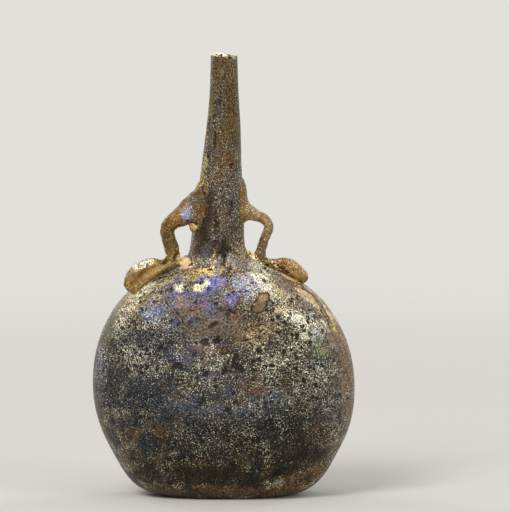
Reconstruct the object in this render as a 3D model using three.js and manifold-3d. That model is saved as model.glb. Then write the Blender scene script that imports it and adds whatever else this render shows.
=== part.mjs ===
// A free-blown glass bottle: a flattened round body under a long tapering neck, with two
// applied handles. Each handle is three dabs of hot glass: a trail folded into a tail on the
// shoulder, a strap that stands on it and bends at a knee, and a pad drawn up the neck.
// Millimetres, +Z up. The flat faces look along Y. The origin is under the middle of the body.
import * as THREE from "three";
import { mergeVertices } from "three/addons/utils/BufferGeometryUtils.js";
import Module from "manifold-3d";

const wasm = await Module();
wasm.setup();

// Driving dimensions of the blown vessel
const overallHeight = 200;
const bodyWidth = 119;
const bodyDepth = 74;
const bellyHeight = 50;
const neckFootHeight = 113;
const neckFootDiameter = 25.4;
const mouthDiameter = 12.6;
const restingWidth = 60;
const restingDepth = 37;
const wallThickness = 1.8;
const rimSlant = 1.3;
const sideLean = 2.8;

// The underside is pushed in, inside a flat resting ring, and keeps a wad from the iron rod
const kickHeight = 7;
const restingRingBreadth = 4.5;
const wadDiameter = 14;
const wadThickness = 1.8;
const wadHollowDepth = 0.9;

// Fused dabs of glass are drawn apart by this much, so that each stays its own solid
const fusedGap = 0.3;
const cutOverrun = 2;
const padEdgeThickness = 0.3;

// The power of a section's curve. A true ellipse has the first, and the belly is squarer
const ellipsePower = 2;
const bellyPower = 2.3;

// The two handles were made by hand and differ. Turns, spans and drifts are degrees about the
// neck. A knee stands off the neck's skin, a tail reaches out from the neck's axis, a lift is
// above the shoulder and a rise is above the neck's foot
const leftHandle = {
  side: "left",
  turn: 196,
  kneeStandoff: 13.1,
  landingRise: 15.6,
  strapThickness: 6.3,
  strapWidth: 7,
  tailReach: 42.8,
  tailLift: 7.9,
  strandThickness: 3.6,
  loopThickness: 5.4,
  tailWidth: 7,
  padRise: 6,
  padHeight: 24.4,
  padThickness: 2.4,
  padSpan: 86,
  padDrift: 40,
};
const rightHandle = {
  side: "right",
  turn: -4,
  kneeStandoff: 11.2,
  landingRise: 15.4,
  strapThickness: 4.3,
  strapWidth: 5.4,
  tailReach: 38.7,
  tailLift: 5.7,
  strandThickness: 3,
  loopThickness: 4.4,
  tailWidth: 6,
  padRise: 10.6,
  padHeight: 20,
  padThickness: 2,
  padSpan: 66,
  padDrift: 6,
};

// Vessel outline, as [share of the stretch's height, share of the way between its two girths]
const lowerBodyShares = [
  [0.036, 0.205],
  [0.096, 0.375],
  [0.2, 0.53],
  [0.374, 0.698],
  [0.59, 0.866],
  [0.8, 0.965],
];
const upperBodyShares = [
  [0, 1],
  [0.2, 0.976],
  [0.392, 0.893],
  [0.563, 0.76],
  [0.678, 0.617],
  [0.76, 0.455],
  [0.831, 0.27],
  [0.88, 0.125],
  [0.94, 0.03],
];
const neckShares = [
  [0, 0],
  [0.141, 0.172],
  [0.369, 0.484],
  [0.577, 0.7],
  [0.8, 0.93],
  [1, 1],
];
// The underside, as [share of the way in from the resting ring to the axis, share of the kick]
const kickShares = [
  [0.12, 0.17],
  [0.3, 0.5],
  [0.5, 0.76],
  [0.72, 0.93],
  [0.9, 0.99],
];
// How far the hand-held shape wanders sideways, as [share of the height, share of the lean]
const leanShares = [
  [0, 0.2],
  [0.12, 0.2],
  [0.25, 0],
  [0.35, -0.18],
  [0.45, -0.46],
  [0.52, -0.6],
  [0.565, -1],
  [0.67, -0.57],
  [0.76, -0.29],
  [0.85, 0],
  [1, 0.07],
];

// Strap routes, as [share of the way from the neck's skin out to the knee, share of the rise]
const strapRouteShares = {
  left: [
    [0.82, 0],
    [0.83, 0.13],
    [0.855, 0.26],
    [0.94, 0.41],
    [1, 0.57],
    [0.97, 0.7],
    [0.83, 0.77],
    [0.66, 0.82],
    [0.42, 0.9],
    [0.18, 0.99],
    [-0.03, 1.1],
  ],
  right: [
    [0.63, 0],
    [0.66, 0.1],
    [0.71, 0.2],
    [0.795, 0.34],
    [0.89, 0.48],
    [0.98, 0.63],
    [0.92, 0.765],
    [0.745, 0.85],
    [0.465, 0.91],
    [0.225, 0.965],
    [-0.02, 1],
  ],
};
// The strap's girth along its route, as [share of the route, thickness share, width share]
const strapGirthShares = {
  left: [
    [0, 1.12, 1.15],
    [0.14, 1.04, 1],
    [0.45, 0.98, 0.95],
    [0.56, 1.02, 1.02],
    [0.65, 1.14, 1.1],
    [0.76, 1.6, 1.2],
    [0.87, 2.1, 1.3],
    [1, 2.15, 1.35],
  ],
  right: [
    [0, 1.16, 1.15],
    [0.14, 1.02, 1],
    [0.5, 0.98, 0.95],
    [0.66, 1.08, 1],
    [0.78, 1.2, 1.05],
    [0.89, 1.6, 1.2],
    [1, 2.4, 1.4],
  ],
};
// A tail's lower strand runs out along the shoulder, as shares of the tail's reach
const strandRouteShares = [0.37, 0.44, 0.54, 0.66, 0.78, 0.89, 0.97];
// Its loop then folds back over the strand, as [share of the reach, share of the lift]
const loopRouteShares = {
  left: [
    [0.92, 0.24],
    [0.975, 0.4],
    [0.995, 0.62],
    [0.96, 0.86],
    [0.89, 1],
    [0.8, 1],
    [0.71, 0.8],
    [0.63, 0.52],
    [0.57, 0.38],
  ],
  right: [
    [0.93, 0.26],
    [0.985, 0.42],
    [0.99, 0.66],
    [0.93, 0.87],
    [0.84, 0.98],
    [0.75, 0.88],
    [0.67, 0.6],
    [0.61, 0.4],
  ],
};
// The loop's girth along its route, as [share of the route, share of its thickness and width]
const loopGirthShares = [
  [0, 0.8],
  [0.25, 0.92],
  [0.5, 1],
  [0.75, 0.84],
  [1, 0.6],
];
const strandGirthShares = [
  [0, 0.7],
  [0.2, 1],
  [1, 1.05],
];
// How far a trail's round ends bulge, against half its thickness
const endBulgeShare = 0.6;
// A pad narrows towards its tip by the first, never below the second, and drifts about the third
const padNarrowingShare = 0.4;
const padTipShare = 0.18;
const padDriftCentreShare = 0.4;
// The wad's turned profile, as [share of its radius, share of its thickness up from its lowest edge]
const wadProfileShares = [
  [0.6, 0],
  [0.85, 0.15],
  [1, 0.6],
];

// How finely the round forms are faceted
const vesselSides = 34;
const ringsPerSpan = 2;
const trailSides = 10;
const strapRings = 18;
const tailRings = 15;
const capRings = 3;
const padColumns = 8;
const padRows = 12;
const wadSides = 20;

// Smooth value between the rows of a share table
function between(table, at, column = 1) {
  const places = table.map((row) => row[0]);
  const values = table.map((row) => row[column]);
  const clamped = THREE.MathUtils.clamp(at, places[0], places[places.length - 1]);
  return new THREE.CubicInterpolant(places, values, 1).evaluate(clamped)[0];
}

function leanAt(height) {
  return sideLean * between(leanShares, height / overallHeight);
}

// Stations between a low and a high one, each as (half width, half depth, height)
function stationsBetween(shares, low, high) {
  return shares.map(([rise, girth]) => {
    const station = low.clone().lerp(high, girth);
    station.z = THREE.MathUtils.lerp(low.z, high.z, rise);
    return station;
  });
}

// Stations up the outside of the vessel, from the resting ring to the mouth
function outlineStations() {
  const resting = new THREE.Vector3(restingWidth / 2, restingDepth / 2, 0);
  const belly = new THREE.Vector3(bodyWidth / 2, bodyDepth / 2, bellyHeight);
  const neckFoot = new THREE.Vector3(neckFootDiameter / 2, neckFootDiameter / 2, neckFootHeight);
  const mouth = new THREE.Vector3(mouthDiameter / 2, mouthDiameter / 2, overallHeight);
  // The shoulder goes up to the neck's foot, so its girth shares count back from the belly
  const shoulderShares = upperBodyShares.map(([rise, girth]) => [rise, 1 - girth]);
  const curve = new THREE.CatmullRomCurve3(
    [
      resting,
      ...stationsBetween(lowerBodyShares, resting, belly),
      ...stationsBetween(shoulderShares, belly, neckFoot),
      ...stationsBetween(neckShares, neckFoot, mouth),
    ],
    false,
    "centripetal",
  );
  return curve.getPoints(ringsPerSpan * (curve.points.length - 1));
}

// Stations of the underside, from the axis out to the resting ring
function undersideStations() {
  const innerWidth = restingWidth / 2 - restingRingBreadth;
  const innerDepth = restingDepth / 2 - restingRingBreadth;
  const dome = kickShares.map(
    ([inward, rise]) =>
      new THREE.Vector3(innerWidth * (1 - inward), innerDepth * (1 - inward), kickHeight * rise),
  );
  return [...dome.reverse(), new THREE.Vector3(innerWidth, innerDepth, 0)];
}

// How square a section is: round at the neck and the foot, squarer at the belly
function powerOf(station) {
  const flattening = 1 - station.y / station.x;
  const bellyFlattening = 1 - bodyDepth / bodyWidth;
  if (bellyFlattening <= 0) return ellipsePower;
  const share = THREE.MathUtils.clamp(flattening / bellyFlattening, 0, 1);
  return THREE.MathUtils.lerp(ellipsePower, bellyPower, share);
}

function ringPoint(station, angle) {
  const [across, along] = [Math.cos(angle) * station.x, Math.sin(angle) * station.y];
  const direction = Math.atan2(along, across);
  const power = powerOf(station);
  const share =
    Math.abs(Math.cos(direction) / station.x) ** power + Math.abs(Math.sin(direction) / station.y) ** power;
  const reach = share ** (-1 / power);
  return new THREE.Vector3(
    leanAt(station.z) + reach * Math.cos(direction),
    reach * Math.sin(direction),
    station.z,
  );
}

function angleOf(side, sides) {
  return (2 * Math.PI * side) / sides;
}

// The vessel's outer skin as rings of points, first ring nearest the axis underneath
function skinRings() {
  const stations = [...undersideStations(), ...outlineStations()];
  return stations.map((station) =>
    Array.from({ length: vesselSides }, (_, side) => {
      const point = ringPoint(station, angleOf(side, vesselSides));
      const mouthShare = THREE.MathUtils.smoothstep(station.z, overallHeight - mouthDiameter, overallHeight);
      point.z -= (mouthShare * rimSlant * (1 + Math.cos(angleOf(side, vesselSides)))) / 2;
      return point;
    }),
  );
}

function normalAt(rings, row, side) {
  const sides = rings[row].length;
  const up = rings[Math.min(row + 1, rings.length - 1)][side].clone().sub(rings[Math.max(row - 1, 0)][side]);
  const round = rings[row][(side + 1) % sides].clone().sub(rings[row][(side + sides - 1) % sides]);
  return round.cross(up).normalize();
}

function offsetRings(rings, distance) {
  return rings.map((ring, row) =>
    ring.map((point, side) => point.clone().addScaledVector(normalAt(rings, row, side), distance)),
  );
}

function middleOf(ring) {
  const sum = new THREE.Vector3();
  for (const point of ring) sum.add(point);
  return sum.divideScalar(ring.length);
}

// A closed body over a stack of rings, with a point in the middle of each end
function bodyOverRings(rings, firstTip = middleOf(rings[0]), lastTip = middleOf(rings[rings.length - 1])) {
  const sides = rings[0].length;
  const points = [firstTip, ...rings.flat(), lastTip];
  const at = (row, side) => 1 + row * sides + (side % sides);
  const faces = [];
  for (let side = 0; side < sides; side += 1) {
    faces.push(0, at(0, side + 1), at(0, side));
    for (let row = 0; row + 1 < rings.length; row += 1) {
      faces.push(at(row, side), at(row, side + 1), at(row + 1, side + 1));
      faces.push(at(row, side), at(row + 1, side + 1), at(row + 1, side));
    }
    faces.push(at(rings.length - 1, side), at(rings.length - 1, side + 1), points.length - 1);
  }
  const geometry = new THREE.BufferGeometry().setFromPoints(points);
  geometry.setIndex(faces);
  return geometry;
}

function vesselGeometry() {
  const outer = skinRings();
  const inner = offsetRings(outer, -wallThickness);
  const outerTop = outer[outer.length - 1];
  const innerTop = inner[inner.length - 1];
  // The sheared rim is a little rounded
  const rim = outerTop.map((point, side) => point.clone().lerp(innerTop[side], 0.5));
  for (const point of rim) point.z += wallThickness / 8;
  innerTop.forEach((point, side) => {
    point.z = outerTop[side].z;
  });
  const outerTip = new THREE.Vector3(middleOf(outer[0]).x, 0, kickHeight);
  const innerTip = new THREE.Vector3(middleOf(inner[0]).x, 0, kickHeight + wallThickness);
  return bodyOverRings([...outer, rim, ...inner.reverse()], outerTip, innerTip);
}

// The filled vessel grown by a clearance, to cut what is fused to its outside
function grownVesselGeometry(clearance) {
  const outer = skinRings();
  const grown = offsetRings(outer, clearance);
  const tip = new THREE.Vector3(middleOf(outer[0]).x, 0, kickHeight - clearance);
  return bodyOverRings(grown, tip);
}

// Height of the vessel's outside over a point of the shoulder
function shoulderHeightAt(x, y) {
  const stations = outlineStations();
  const inside = (station) => {
    const power = powerOf(station);
    const across = Math.abs((x - leanAt(station.z)) / station.x) ** power;
    return across + Math.abs(y / station.y) ** power <= 1;
  };
  let top = stations.length - 1;
  while (top > 1 && !inside(stations[top])) top -= 1;
  let [low, high] = [stations[top], stations[Math.min(top + 1, stations.length - 1)]];
  const halvings = 12;
  for (let step = 0; step < halvings; step += 1) {
    const middle = low.clone().lerp(high, 0.5);
    if (inside(middle)) low = middle;
    else high = middle;
  }
  return low.z;
}

// Radius of the vessel's outside at a height where it is round
function neckRadiusAt(height) {
  const stations = outlineStations();
  const above = stations.findIndex((station) => station.z >= height);
  const [low, high] = [stations[above - 1], stations[above]];
  return THREE.MathUtils.mapLinear(height, low.z, high.z, low.x, high.x);
}

// A point at a reach from the neck's axis, in a handle's own plane
function atReach(handle, reach, height) {
  const turn = THREE.MathUtils.degToRad(handle.turn);
  const axis = leanAt(neckFootHeight + handle.landingRise);
  return new THREE.Vector3(axis + reach * Math.cos(turn), reach * Math.sin(turn), height);
}

function overShoulder(handle, reach, lift) {
  const point = atReach(handle, reach, 0);
  point.z = shoulderHeightAt(point.x, point.y) + lift;
  return point;
}

// A tube of oval section along a route, with rounded ends. Thickness lies in the handle's
// plane and width across it
function trailGeometry(handle, route, girthAt, rings) {
  const curve = new THREE.CatmullRomCurve3(route, false, "centripetal");
  const turn = THREE.MathUtils.degToRad(handle.turn);
  const across = new THREE.Vector3(-Math.sin(turn), Math.cos(turn), 0);
  const sectionAt = (share, shrink, along) => {
    const centre = curve.getPointAt(share);
    const tangent = curve.getTangentAt(share);
    const thick = new THREE.Vector3().crossVectors(tangent, across).normalize();
    const [thickness, width] = girthAt(share);
    const [halfThick, halfWide] = [thickness / 2, width / 2];
    centre.addScaledVector(tangent, along * halfThick);
    return Array.from({ length: trailSides }, (_, side) => {
      const angle = angleOf(side, trailSides);
      return centre
        .clone()
        .addScaledVector(across, Math.cos(angle) * halfWide * shrink)
        .addScaledVector(thick, Math.sin(angle) * halfThick * shrink);
    });
  };
  const stack = [];
  for (let cap = capRings; cap > 0; cap -= 1) {
    const slope = (cap / (capRings + 1)) * (Math.PI / 2);
    stack.push(sectionAt(0, Math.cos(slope), -Math.sin(slope) * endBulgeShare));
  }
  for (let ring = 0; ring <= rings; ring += 1) stack.push(sectionAt(ring / rings, 1, 0));
  for (let cap = 1; cap <= capRings; cap += 1) {
    const slope = (cap / (capRings + 1)) * (Math.PI / 2);
    stack.push(sectionAt(1, Math.cos(slope), Math.sin(slope) * endBulgeShare));
  }
  return bodyOverRings(stack);
}

// A closed form pushed outwards all over, so that what it cuts keeps clear of it
function grown(geometry, distance) {
  const wider = geometry.clone();
  wider.computeVertexNormals();
  const { position, normal } = wider.attributes;
  for (let index = 0; index < position.count; index += 1) {
    const point = new THREE.Vector3().fromBufferAttribute(position, index);
    point.addScaledVector(new THREE.Vector3().fromBufferAttribute(normal, index), distance);
    position.setXYZ(index, point.x, point.y, point.z);
  }
  return wider;
}

function solidOf(geometry) {
  const bare = geometry.clone();
  bare.deleteAttribute("normal");
  bare.deleteAttribute("uv");
  const merged = mergeVertices(bare);
  const mesh = new wasm.Mesh({
    numProp: 3,
    vertProperties: new Float32Array(merged.attributes.position.array),
    triVerts: new Uint32Array(merged.index.array),
  });
  return new wasm.Manifold(mesh);
}

// The largest body of a cut solid, so that no sliver stays beside it
function geometryOf(solid) {
  const largest = solid.decompose().reduce((a, b) => (a.volume() > b.volume() ? a : b));
  const mesh = largest.getMesh();
  const geometry = new THREE.BufferGeometry();
  geometry.setAttribute("position", new THREE.BufferAttribute(new Float32Array(mesh.vertProperties), 3));
  geometry.setIndex(new THREE.BufferAttribute(new Uint32Array(mesh.triVerts), 1));
  return geometry;
}

const grownVessel = solidOf(grownVesselGeometry(fusedGap));

// The folded tail on the shoulder: a strand along the glass and a loop back over it
function tailSolid(handle, growth = 0) {
  const strandRoute = strandRouteShares.map((share) =>
    overShoulder(handle, handle.tailReach * share, handle.strandThickness / 2 + fusedGap),
  );
  const strandGirth = (share) => {
    const girth = between(strandGirthShares, share);
    return [handle.strandThickness * girth, handle.tailWidth * girth];
  };
  const loopRoute = loopRouteShares[handle.side].map(([reach, lift]) =>
    overShoulder(handle, handle.tailReach * reach, handle.tailLift * lift),
  );
  const loopGirth = (share) => {
    const girth = between(loopGirthShares, share);
    return [handle.loopThickness * girth, handle.tailWidth * girth];
  };
  const strand = trailGeometry(handle, strandRoute, strandGirth, tailRings);
  const loop = trailGeometry(handle, loopRoute, loopGirth, tailRings);
  return solidOf(grown(strand, growth)).add(solidOf(grown(loop, growth)));
}

// The pad pressed on the neck and drawn up it into a tongue, as a patch that hugs the neck
function padGeometry(handle) {
  const turn = THREE.MathUtils.degToRad(handle.turn);
  const halfSpan = THREE.MathUtils.degToRad(handle.padSpan) / 2;
  const bottom = neckFootHeight + handle.padRise;
  const pointAt = (row, column, outside) => {
    const rise = row / padRows;
    const sweep = (2 * column) / padColumns - 1;
    const height = bottom + handle.padHeight * rise;
    // Widest low down, tapering to a rounded tongue
    const outline = Math.sqrt(1 - (2 * rise - 1) ** 4) * (1 - padNarrowingShare * rise ** 1.5);
    const swell = Math.sqrt(1 - sweep ** 2) * Math.sqrt(1 - (2 * rise - 1) ** 6);
    const span = halfSpan * Math.max(outline, padTipShare);
    const thickness = outside ? padEdgeThickness + handle.padThickness * swell : 0;
    const radius = neckRadiusAt(height) + fusedGap + thickness;
    const drift = THREE.MathUtils.degToRad(handle.padDrift) * (rise - padDriftCentreShare);
    const angle = turn + drift + sweep * span;
    return new THREE.Vector3(leanAt(height) + radius * Math.cos(angle), radius * Math.sin(angle), height);
  };
  const columns = Array.from({ length: padColumns + 1 }, (_, column) => column);
  // Each row is one ring: across the outside, then back along the neck
  const rings = Array.from({ length: padRows + 1 }, (_, row) => [
    ...columns.map((column) => pointAt(row, column, true)),
    ...columns.map((column) => pointAt(row, padColumns - column, false)),
  ]);
  return bodyOverRings(rings);
}

// The strap stands on the tail, bends at its knee and runs into the pad
function strapGeometry(handle) {
  const neckReach = neckRadiusAt(neckFootHeight + handle.landingRise);
  const shares = strapRouteShares[handle.side];
  const reachAt = (share) => neckReach + handle.kneeStandoff * share;
  const foot = overShoulder(handle, reachAt(shares[0][0]), handle.strandThickness);
  const rise = neckFootHeight + handle.landingRise - foot.z;
  const route = shares.map(([out, up]) => atReach(handle, reachAt(out), foot.z + rise * up));
  const girthAt = (share) => [
    handle.strapThickness * between(strapGirthShares[handle.side], share),
    handle.strapWidth * between(strapGirthShares[handle.side], share, 2),
  ];
  return trailGeometry(handle, route, girthAt, strapRings);
}

// The wad of glass that the iron left under the base, hollowed where it snapped away
function wadGeometry() {
  const radius = wadDiameter / 2;
  const top = kickHeight + cutOverrun;
  const low = kickHeight - fusedGap - wadThickness;
  const profile = [
    new THREE.Vector2(0, low + wadHollowDepth),
    ...wadProfileShares.map(([out, up]) => new THREE.Vector2(radius * out, low + wadThickness * up)),
    new THREE.Vector2(radius, top),
    new THREE.Vector2(0, top),
  ];
  const turned = new THREE.LatheGeometry(profile, wadSides);
  turned.rotateX(Math.PI / 2);
  turned.translate(leanAt(0), 0, 0);
  return turned;
}

const paleCrust = new THREE.MeshStandardMaterial({ color: 0x6f675c, roughness: 0.62, metalness: 0.15 });
const amberGlass = new THREE.MeshStandardMaterial({ color: 0x8a6a3c, roughness: 0.5, metalness: 0 });
const scarGlass = new THREE.MeshStandardMaterial({ color: 0x6a5a3e, roughness: 0.7, metalness: 0 });

function named(name, geometry, material) {
  geometry.computeVertexNormals();
  const mesh = new THREE.Mesh(geometry, material);
  mesh.name = name;
  return mesh;
}

function handleGroup(handle) {
  const group = new THREE.Group();
  const tail = tailSolid(handle).subtract(grownVessel);
  const strap = solidOf(strapGeometry(handle))
    .subtract(grownVessel)
    .subtract(tailSolid(handle, fusedGap))
    .subtract(solidOf(grown(padGeometry(handle), fusedGap)));
  group.add(named(`${handle.side}_tail_trail`, geometryOf(tail), amberGlass));
  group.add(named(`${handle.side}_handle_strap`, geometryOf(strap), amberGlass));
  group.add(named(`${handle.side}_neck_pad`, padGeometry(handle), amberGlass));
  return group;
}

const bottle = new THREE.Group();
bottle.add(named("vessel", vesselGeometry(), paleCrust));
bottle.add(named("pontil_wad", geometryOf(solidOf(wadGeometry()).subtract(grownVessel)), scarGlass));
bottle.add(handleGroup(leftHandle));
bottle.add(handleGroup(rightHandle));

export default bottle;
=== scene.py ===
# %% [markdown]
# # A weathered glass bottle
# The real thing is a free-blown flask: a flattened round body, a long tapering neck and two
# handles drawn on with hot glass. Centuries underground have given it a crust of cream specks
# over dark, faintly iridescent glass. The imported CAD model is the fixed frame. Every piece
# here is built in metres in that same frame, so nothing has to be fitted afterwards.

# %% Load the frame
import math
from functools import partial
import bmesh
import bpy
import numpy as np
import openvdb
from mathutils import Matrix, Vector, noise
from mathutils.bvhtree import BVHTree


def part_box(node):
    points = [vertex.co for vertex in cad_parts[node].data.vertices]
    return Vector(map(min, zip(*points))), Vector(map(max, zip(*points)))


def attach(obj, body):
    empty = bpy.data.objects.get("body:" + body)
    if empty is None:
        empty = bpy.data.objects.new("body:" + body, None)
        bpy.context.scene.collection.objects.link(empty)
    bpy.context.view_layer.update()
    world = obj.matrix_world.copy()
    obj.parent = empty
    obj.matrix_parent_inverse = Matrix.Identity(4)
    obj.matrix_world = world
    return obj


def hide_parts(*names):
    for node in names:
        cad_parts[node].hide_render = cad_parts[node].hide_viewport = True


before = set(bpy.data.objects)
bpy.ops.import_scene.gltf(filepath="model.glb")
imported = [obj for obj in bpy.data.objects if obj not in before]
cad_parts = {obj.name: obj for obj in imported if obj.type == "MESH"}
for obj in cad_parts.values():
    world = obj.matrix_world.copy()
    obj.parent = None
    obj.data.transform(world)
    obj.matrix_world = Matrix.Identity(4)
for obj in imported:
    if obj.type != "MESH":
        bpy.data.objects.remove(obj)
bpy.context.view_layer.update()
mm = 0.001

# %% [markdown]
# ## The camera
# The photograph is flat, with hardly any perspective, so it was taken with a long lens from
# some way off, a little above the middle of the bottle. The camera comes first, because the
# patches of weathering are read off the photograph and laid on the glass from where it stands.

# %% Camera
def show(name, data):
    """Puts a mesh, a lamp or a camera into the scene as an object."""
    made = bpy.data.objects.new(name, data)
    bpy.context.scene.collection.objects.link(made)
    return made


picture_width, picture_height = 509, 512
mm_per_pixel = 0.4517
pixel = mm_per_pixel * mm
axis_column, foot_row = 223.8, 495.0
view_tilt = math.radians(4.0)
lens, sensor = 300.0, 36.0
view_distance = picture_height * pixel * lens / sensor
aim = Vector(((picture_width / 2 - axis_column) * pixel, 0,
              (foot_row - picture_height / 2) * pixel / math.cos(view_tilt)))
view_back = Vector((0, -math.cos(view_tilt), math.sin(view_tilt)))
view_up = Vector((0, math.sin(view_tilt), math.cos(view_tilt)))
camera = show("camera", bpy.data.cameras.new("camera"))
camera.data.lens, camera.data.sensor_width = lens, sensor
camera.location = aim + view_back * view_distance
camera.rotation_euler = (math.pi / 2 - view_tilt, 0, 0)
camera.data.clip_end = 100
bpy.context.scene.camera = camera
bpy.context.scene.view_settings.view_transform = "Standard"
print("the camera stands", round(view_distance, 2), "m away")

# %% [markdown]
# ## The sizes
# These are the CAD's own sizes, now in metres. A share table gives a shape as parts of a size,
# so that the shape keeps its character when the size changes.

# %% Sizes of the vessel
overall_height, belly_height, neck_foot_height = 200 * mm, 50 * mm, 113 * mm
body_width, body_depth = 119 * mm, 73.6 * mm
resting_width, resting_depth = 60 * mm, 37 * mm
neck_foot_diameter, mouth_diameter = 25.4 * mm, 12.6 * mm
wall, rim_slant, side_lean = 1.8 * mm, 1.3 * mm, 2.8 * mm
kick_height, resting_ring_breadth = 7 * mm, 4.5 * mm
round_power, belly_power = 2.0, 2.3
crust_allowance = 0.25 * mm
lower_body_shares = [(.036, .205), (.096, .375), (.2, .532), (.374, .706), (.59, .882), (.8, .974)]
upper_body_shares = [(0, 1), (.2, .976), (.392, .893), (.563, .76), (.678, .617), (.76, .455),
                     (.831, .27), (.88, .125), (.94, .03)]
neck_shares = [(0, 0), (.141, .172), (.369, .484), (.577, .7), (.8, .93), (1, 1)]
kick_shares = [(0, 0), (.12, .17), (.3, .5), (.5, .76), (.72, .93), (.9, .99), (1, 1)]
lean_shares = [(0, .2), (.12, .2), (.25, 0), (.35, -.18), (.45, -.46), (.52, -.6), (.565, -1),
               (.67, -.57), (.76, -.29), (.85, 0), (1, .07)]

# %% [markdown]
# ## Smooth values and smooth curves
# A blown form has no corners, so the few rows of a share table are joined by a smooth curve.
# Two small helpers do that: one reads a smooth value between the rows of a table, and the
# other threads a curve through points in space.

# %% Curve helpers
def between(table, at, column=1):
    """Smooth value between the rows of a share table."""
    table = np.array(table, float)
    places, values = table[:, 0], table[:, column]
    slopes = np.zeros(len(places))
    slopes[1:-1] = (values[2:] - values[:-2]) / (places[2:] - places[:-2])
    at = np.clip(at, places[0], places[-1])
    low = np.clip(np.searchsorted(places, at, side="right") - 1, 0, len(places) - 2)
    step = places[low + 1] - places[low]
    t = (at - places[low]) / step
    rising, falling = t * t * (3 - 2 * t), (1 + 2 * t) * (1 - t) ** 2
    return (falling * values[low] + t * (1 - t) ** 2 * step * slopes[low]
            + rising * values[low + 1] + t * t * (t - 1) * step * slopes[low + 1])


def curve_through(points, steps):
    """A curve through points, with that many steps between each two."""
    points = np.array(points, float)
    knots = np.vstack([2 * points[0] - points[1], points, 2 * points[-1] - points[-2]])
    gaps = np.linalg.norm(np.diff(knots, axis=0), axis=1)[:, None] ** 0.5
    chords = np.diff(knots, axis=0) / gaps
    slopes = chords[:-1] - (knots[2:] - knots[:-2]) / (gaps[:-1] + gaps[1:]) + chords[1:]
    t = (np.arange(steps) / steps)[:, None]
    spans = [(1 + 2 * t) * (1 - t) ** 2 * points[i] + t * (1 - t) ** 2 * gaps[i + 1] * slopes[i]
             + t * t * (3 - 2 * t) * points[i + 1] + t * t * (t - 1) * gaps[i + 1] * slopes[i + 1]
             for i in range(len(points) - 1)]
    return np.vstack([*spans, points[-1:]])


def smoothstep(low, high, value):
    t = np.clip((value - low) / (high - low), 0, 1)
    return t * t * (3 - 2 * t)


def lean_at(height):
    return side_lean * between(lean_shares, height / overall_height)

# %% [markdown]
# ## The outline of the vessel
# A station is one level of the vessel: half its width, half its depth and its height. The
# stations start on the axis under the pushed-in base, go out to the resting ring, up the
# outside, over the rim and down the inside again, so that they close one continuous skin.

# %% Stations
def stations_between(shares, low, high):
    """Stations between a low and a high one, from [share of the rise, share of the girth]."""
    (*low_half, low_height), (*high_half, high_height) = low, high
    return [(*(np.array(low_half) + (np.array(high_half) - low_half) * girth),
             low_height + (high_height - low_height) * rise) for rise, girth in shares]


resting = (resting_width / 2, resting_depth / 2, 0)
belly = (body_width / 2, body_depth / 2, belly_height)
neck_foot = (neck_foot_diameter / 2, neck_foot_diameter / 2, neck_foot_height)
mouth = (mouth_diameter / 2, mouth_diameter / 2, overall_height)
shoulder_shares = [(rise, 1 - girth) for rise, girth in upper_body_shares]
outline = curve_through([resting, *stations_between(lower_body_shares, resting, belly),
                         *stations_between(shoulder_shares, belly, neck_foot),
                         *stations_between(neck_shares, neck_foot, mouth)], steps=9)
ring_inside = np.array([resting[0] - resting_ring_breadth, resting[1] - resting_ring_breadth, 0])
kick = curve_through([ring_inside * (1 - inward) + np.array([0, 0, kick_height * rise])
                      for inward, rise in kick_shares], steps=3)[::-1]
print(len(outline), "stations outside and", len(kick), "underneath")

# %% Skin and inner wall
def inwards(stations, distance):
    """The stations moved square to the skin, towards the inside."""
    slope = np.gradient(stations, axis=0)
    moved = stations.copy()
    for side in (0, 1):
        length = np.hypot(slope[:, side], slope[:, 2]) + 1e-12
        moved[:, side] -= distance * slope[:, 2] / length
        moved[:, 2] += distance * slope[:, side] / length / 2
    moved[:, :2] = np.maximum(moved[:, :2], 0)
    return moved


skin = inwards(np.vstack([kick, outline]), crust_allowance)
skin[:, 2] = np.clip(skin[:, 2], 0, overall_height)
skin[0, :2] = 0
# The wall inside hardly shows, so every fourth station is enough for it
lining = inwards(skin, wall)[::4]
lining[0, :2] = 0
lining[:, 2] = np.minimum(lining[:, 2], overall_height)
rim_crown = 0.2 * mm
rim_top = (skin[-1] + lining[-1]) / 2 + np.array([0, 0, rim_crown])
stations = np.vstack([skin, rim_top, lining[::-1]])
print("the skin is", round(2 * skin[:, 0].max() / mm, 1), "mm wide")

# %% [markdown]
# ## The vessel as a rule
# Each ring of the vessel is an ellipse, a little squarer at the belly, that wanders sideways
# as the hand-held glass did. That is a rule, so Geometry Nodes make the form: a flat grid has
# one row for each station, and every point of it is sent to its place on its own ring.
# A few helpers keep the node trees readable. One adds a node and feeds its sockets, others add
# a sum, a scaled vector, a soft step or a noise, and one gives short names to a tree's sums.

# %% Helpers for all node trees
def feed(tree, socket, value):
    if isinstance(value, bpy.types.NodeSocket):
        tree.links.new(value, socket)
    else:
        socket.default_value = value


def put(tree, kind, feeds=(), **settings):
    """Adds a node, sets its choices and feeds its sockets, by name or by place."""
    made = tree.nodes.new(kind)
    for name, value in settings.items():
        setattr(made, name, value)
    for place, value in dict(feeds).items():
        feed(tree, made.inputs[place], value)
    return made


def calc(tree, operation, *values):
    """Adds a sum and returns its result."""
    return put(tree, "ShaderNodeMath", dict(enumerate(values)), operation=operation).outputs[0]


def sums(tree, *operations):
    """Short names for a tree's sums, so that a long one reads from the inside out."""
    return [partial(calc, tree, operation) for operation in operations]


def scaled(tree, vector, scale):
    return put(tree, "ShaderNodeVectorMath", {0: vector, "Scale": scale},
               operation="SCALE").outputs[0]


def between_marks(tree, value, low, high):
    """A soft step from 0 at the low mark to 1 at the high one."""
    return put(tree, "ShaderNodeMapRange", {"Value": value, "From Min": low, "From Max": high},
               interpolation_type="SMOOTHSTEP").outputs[0]


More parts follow.
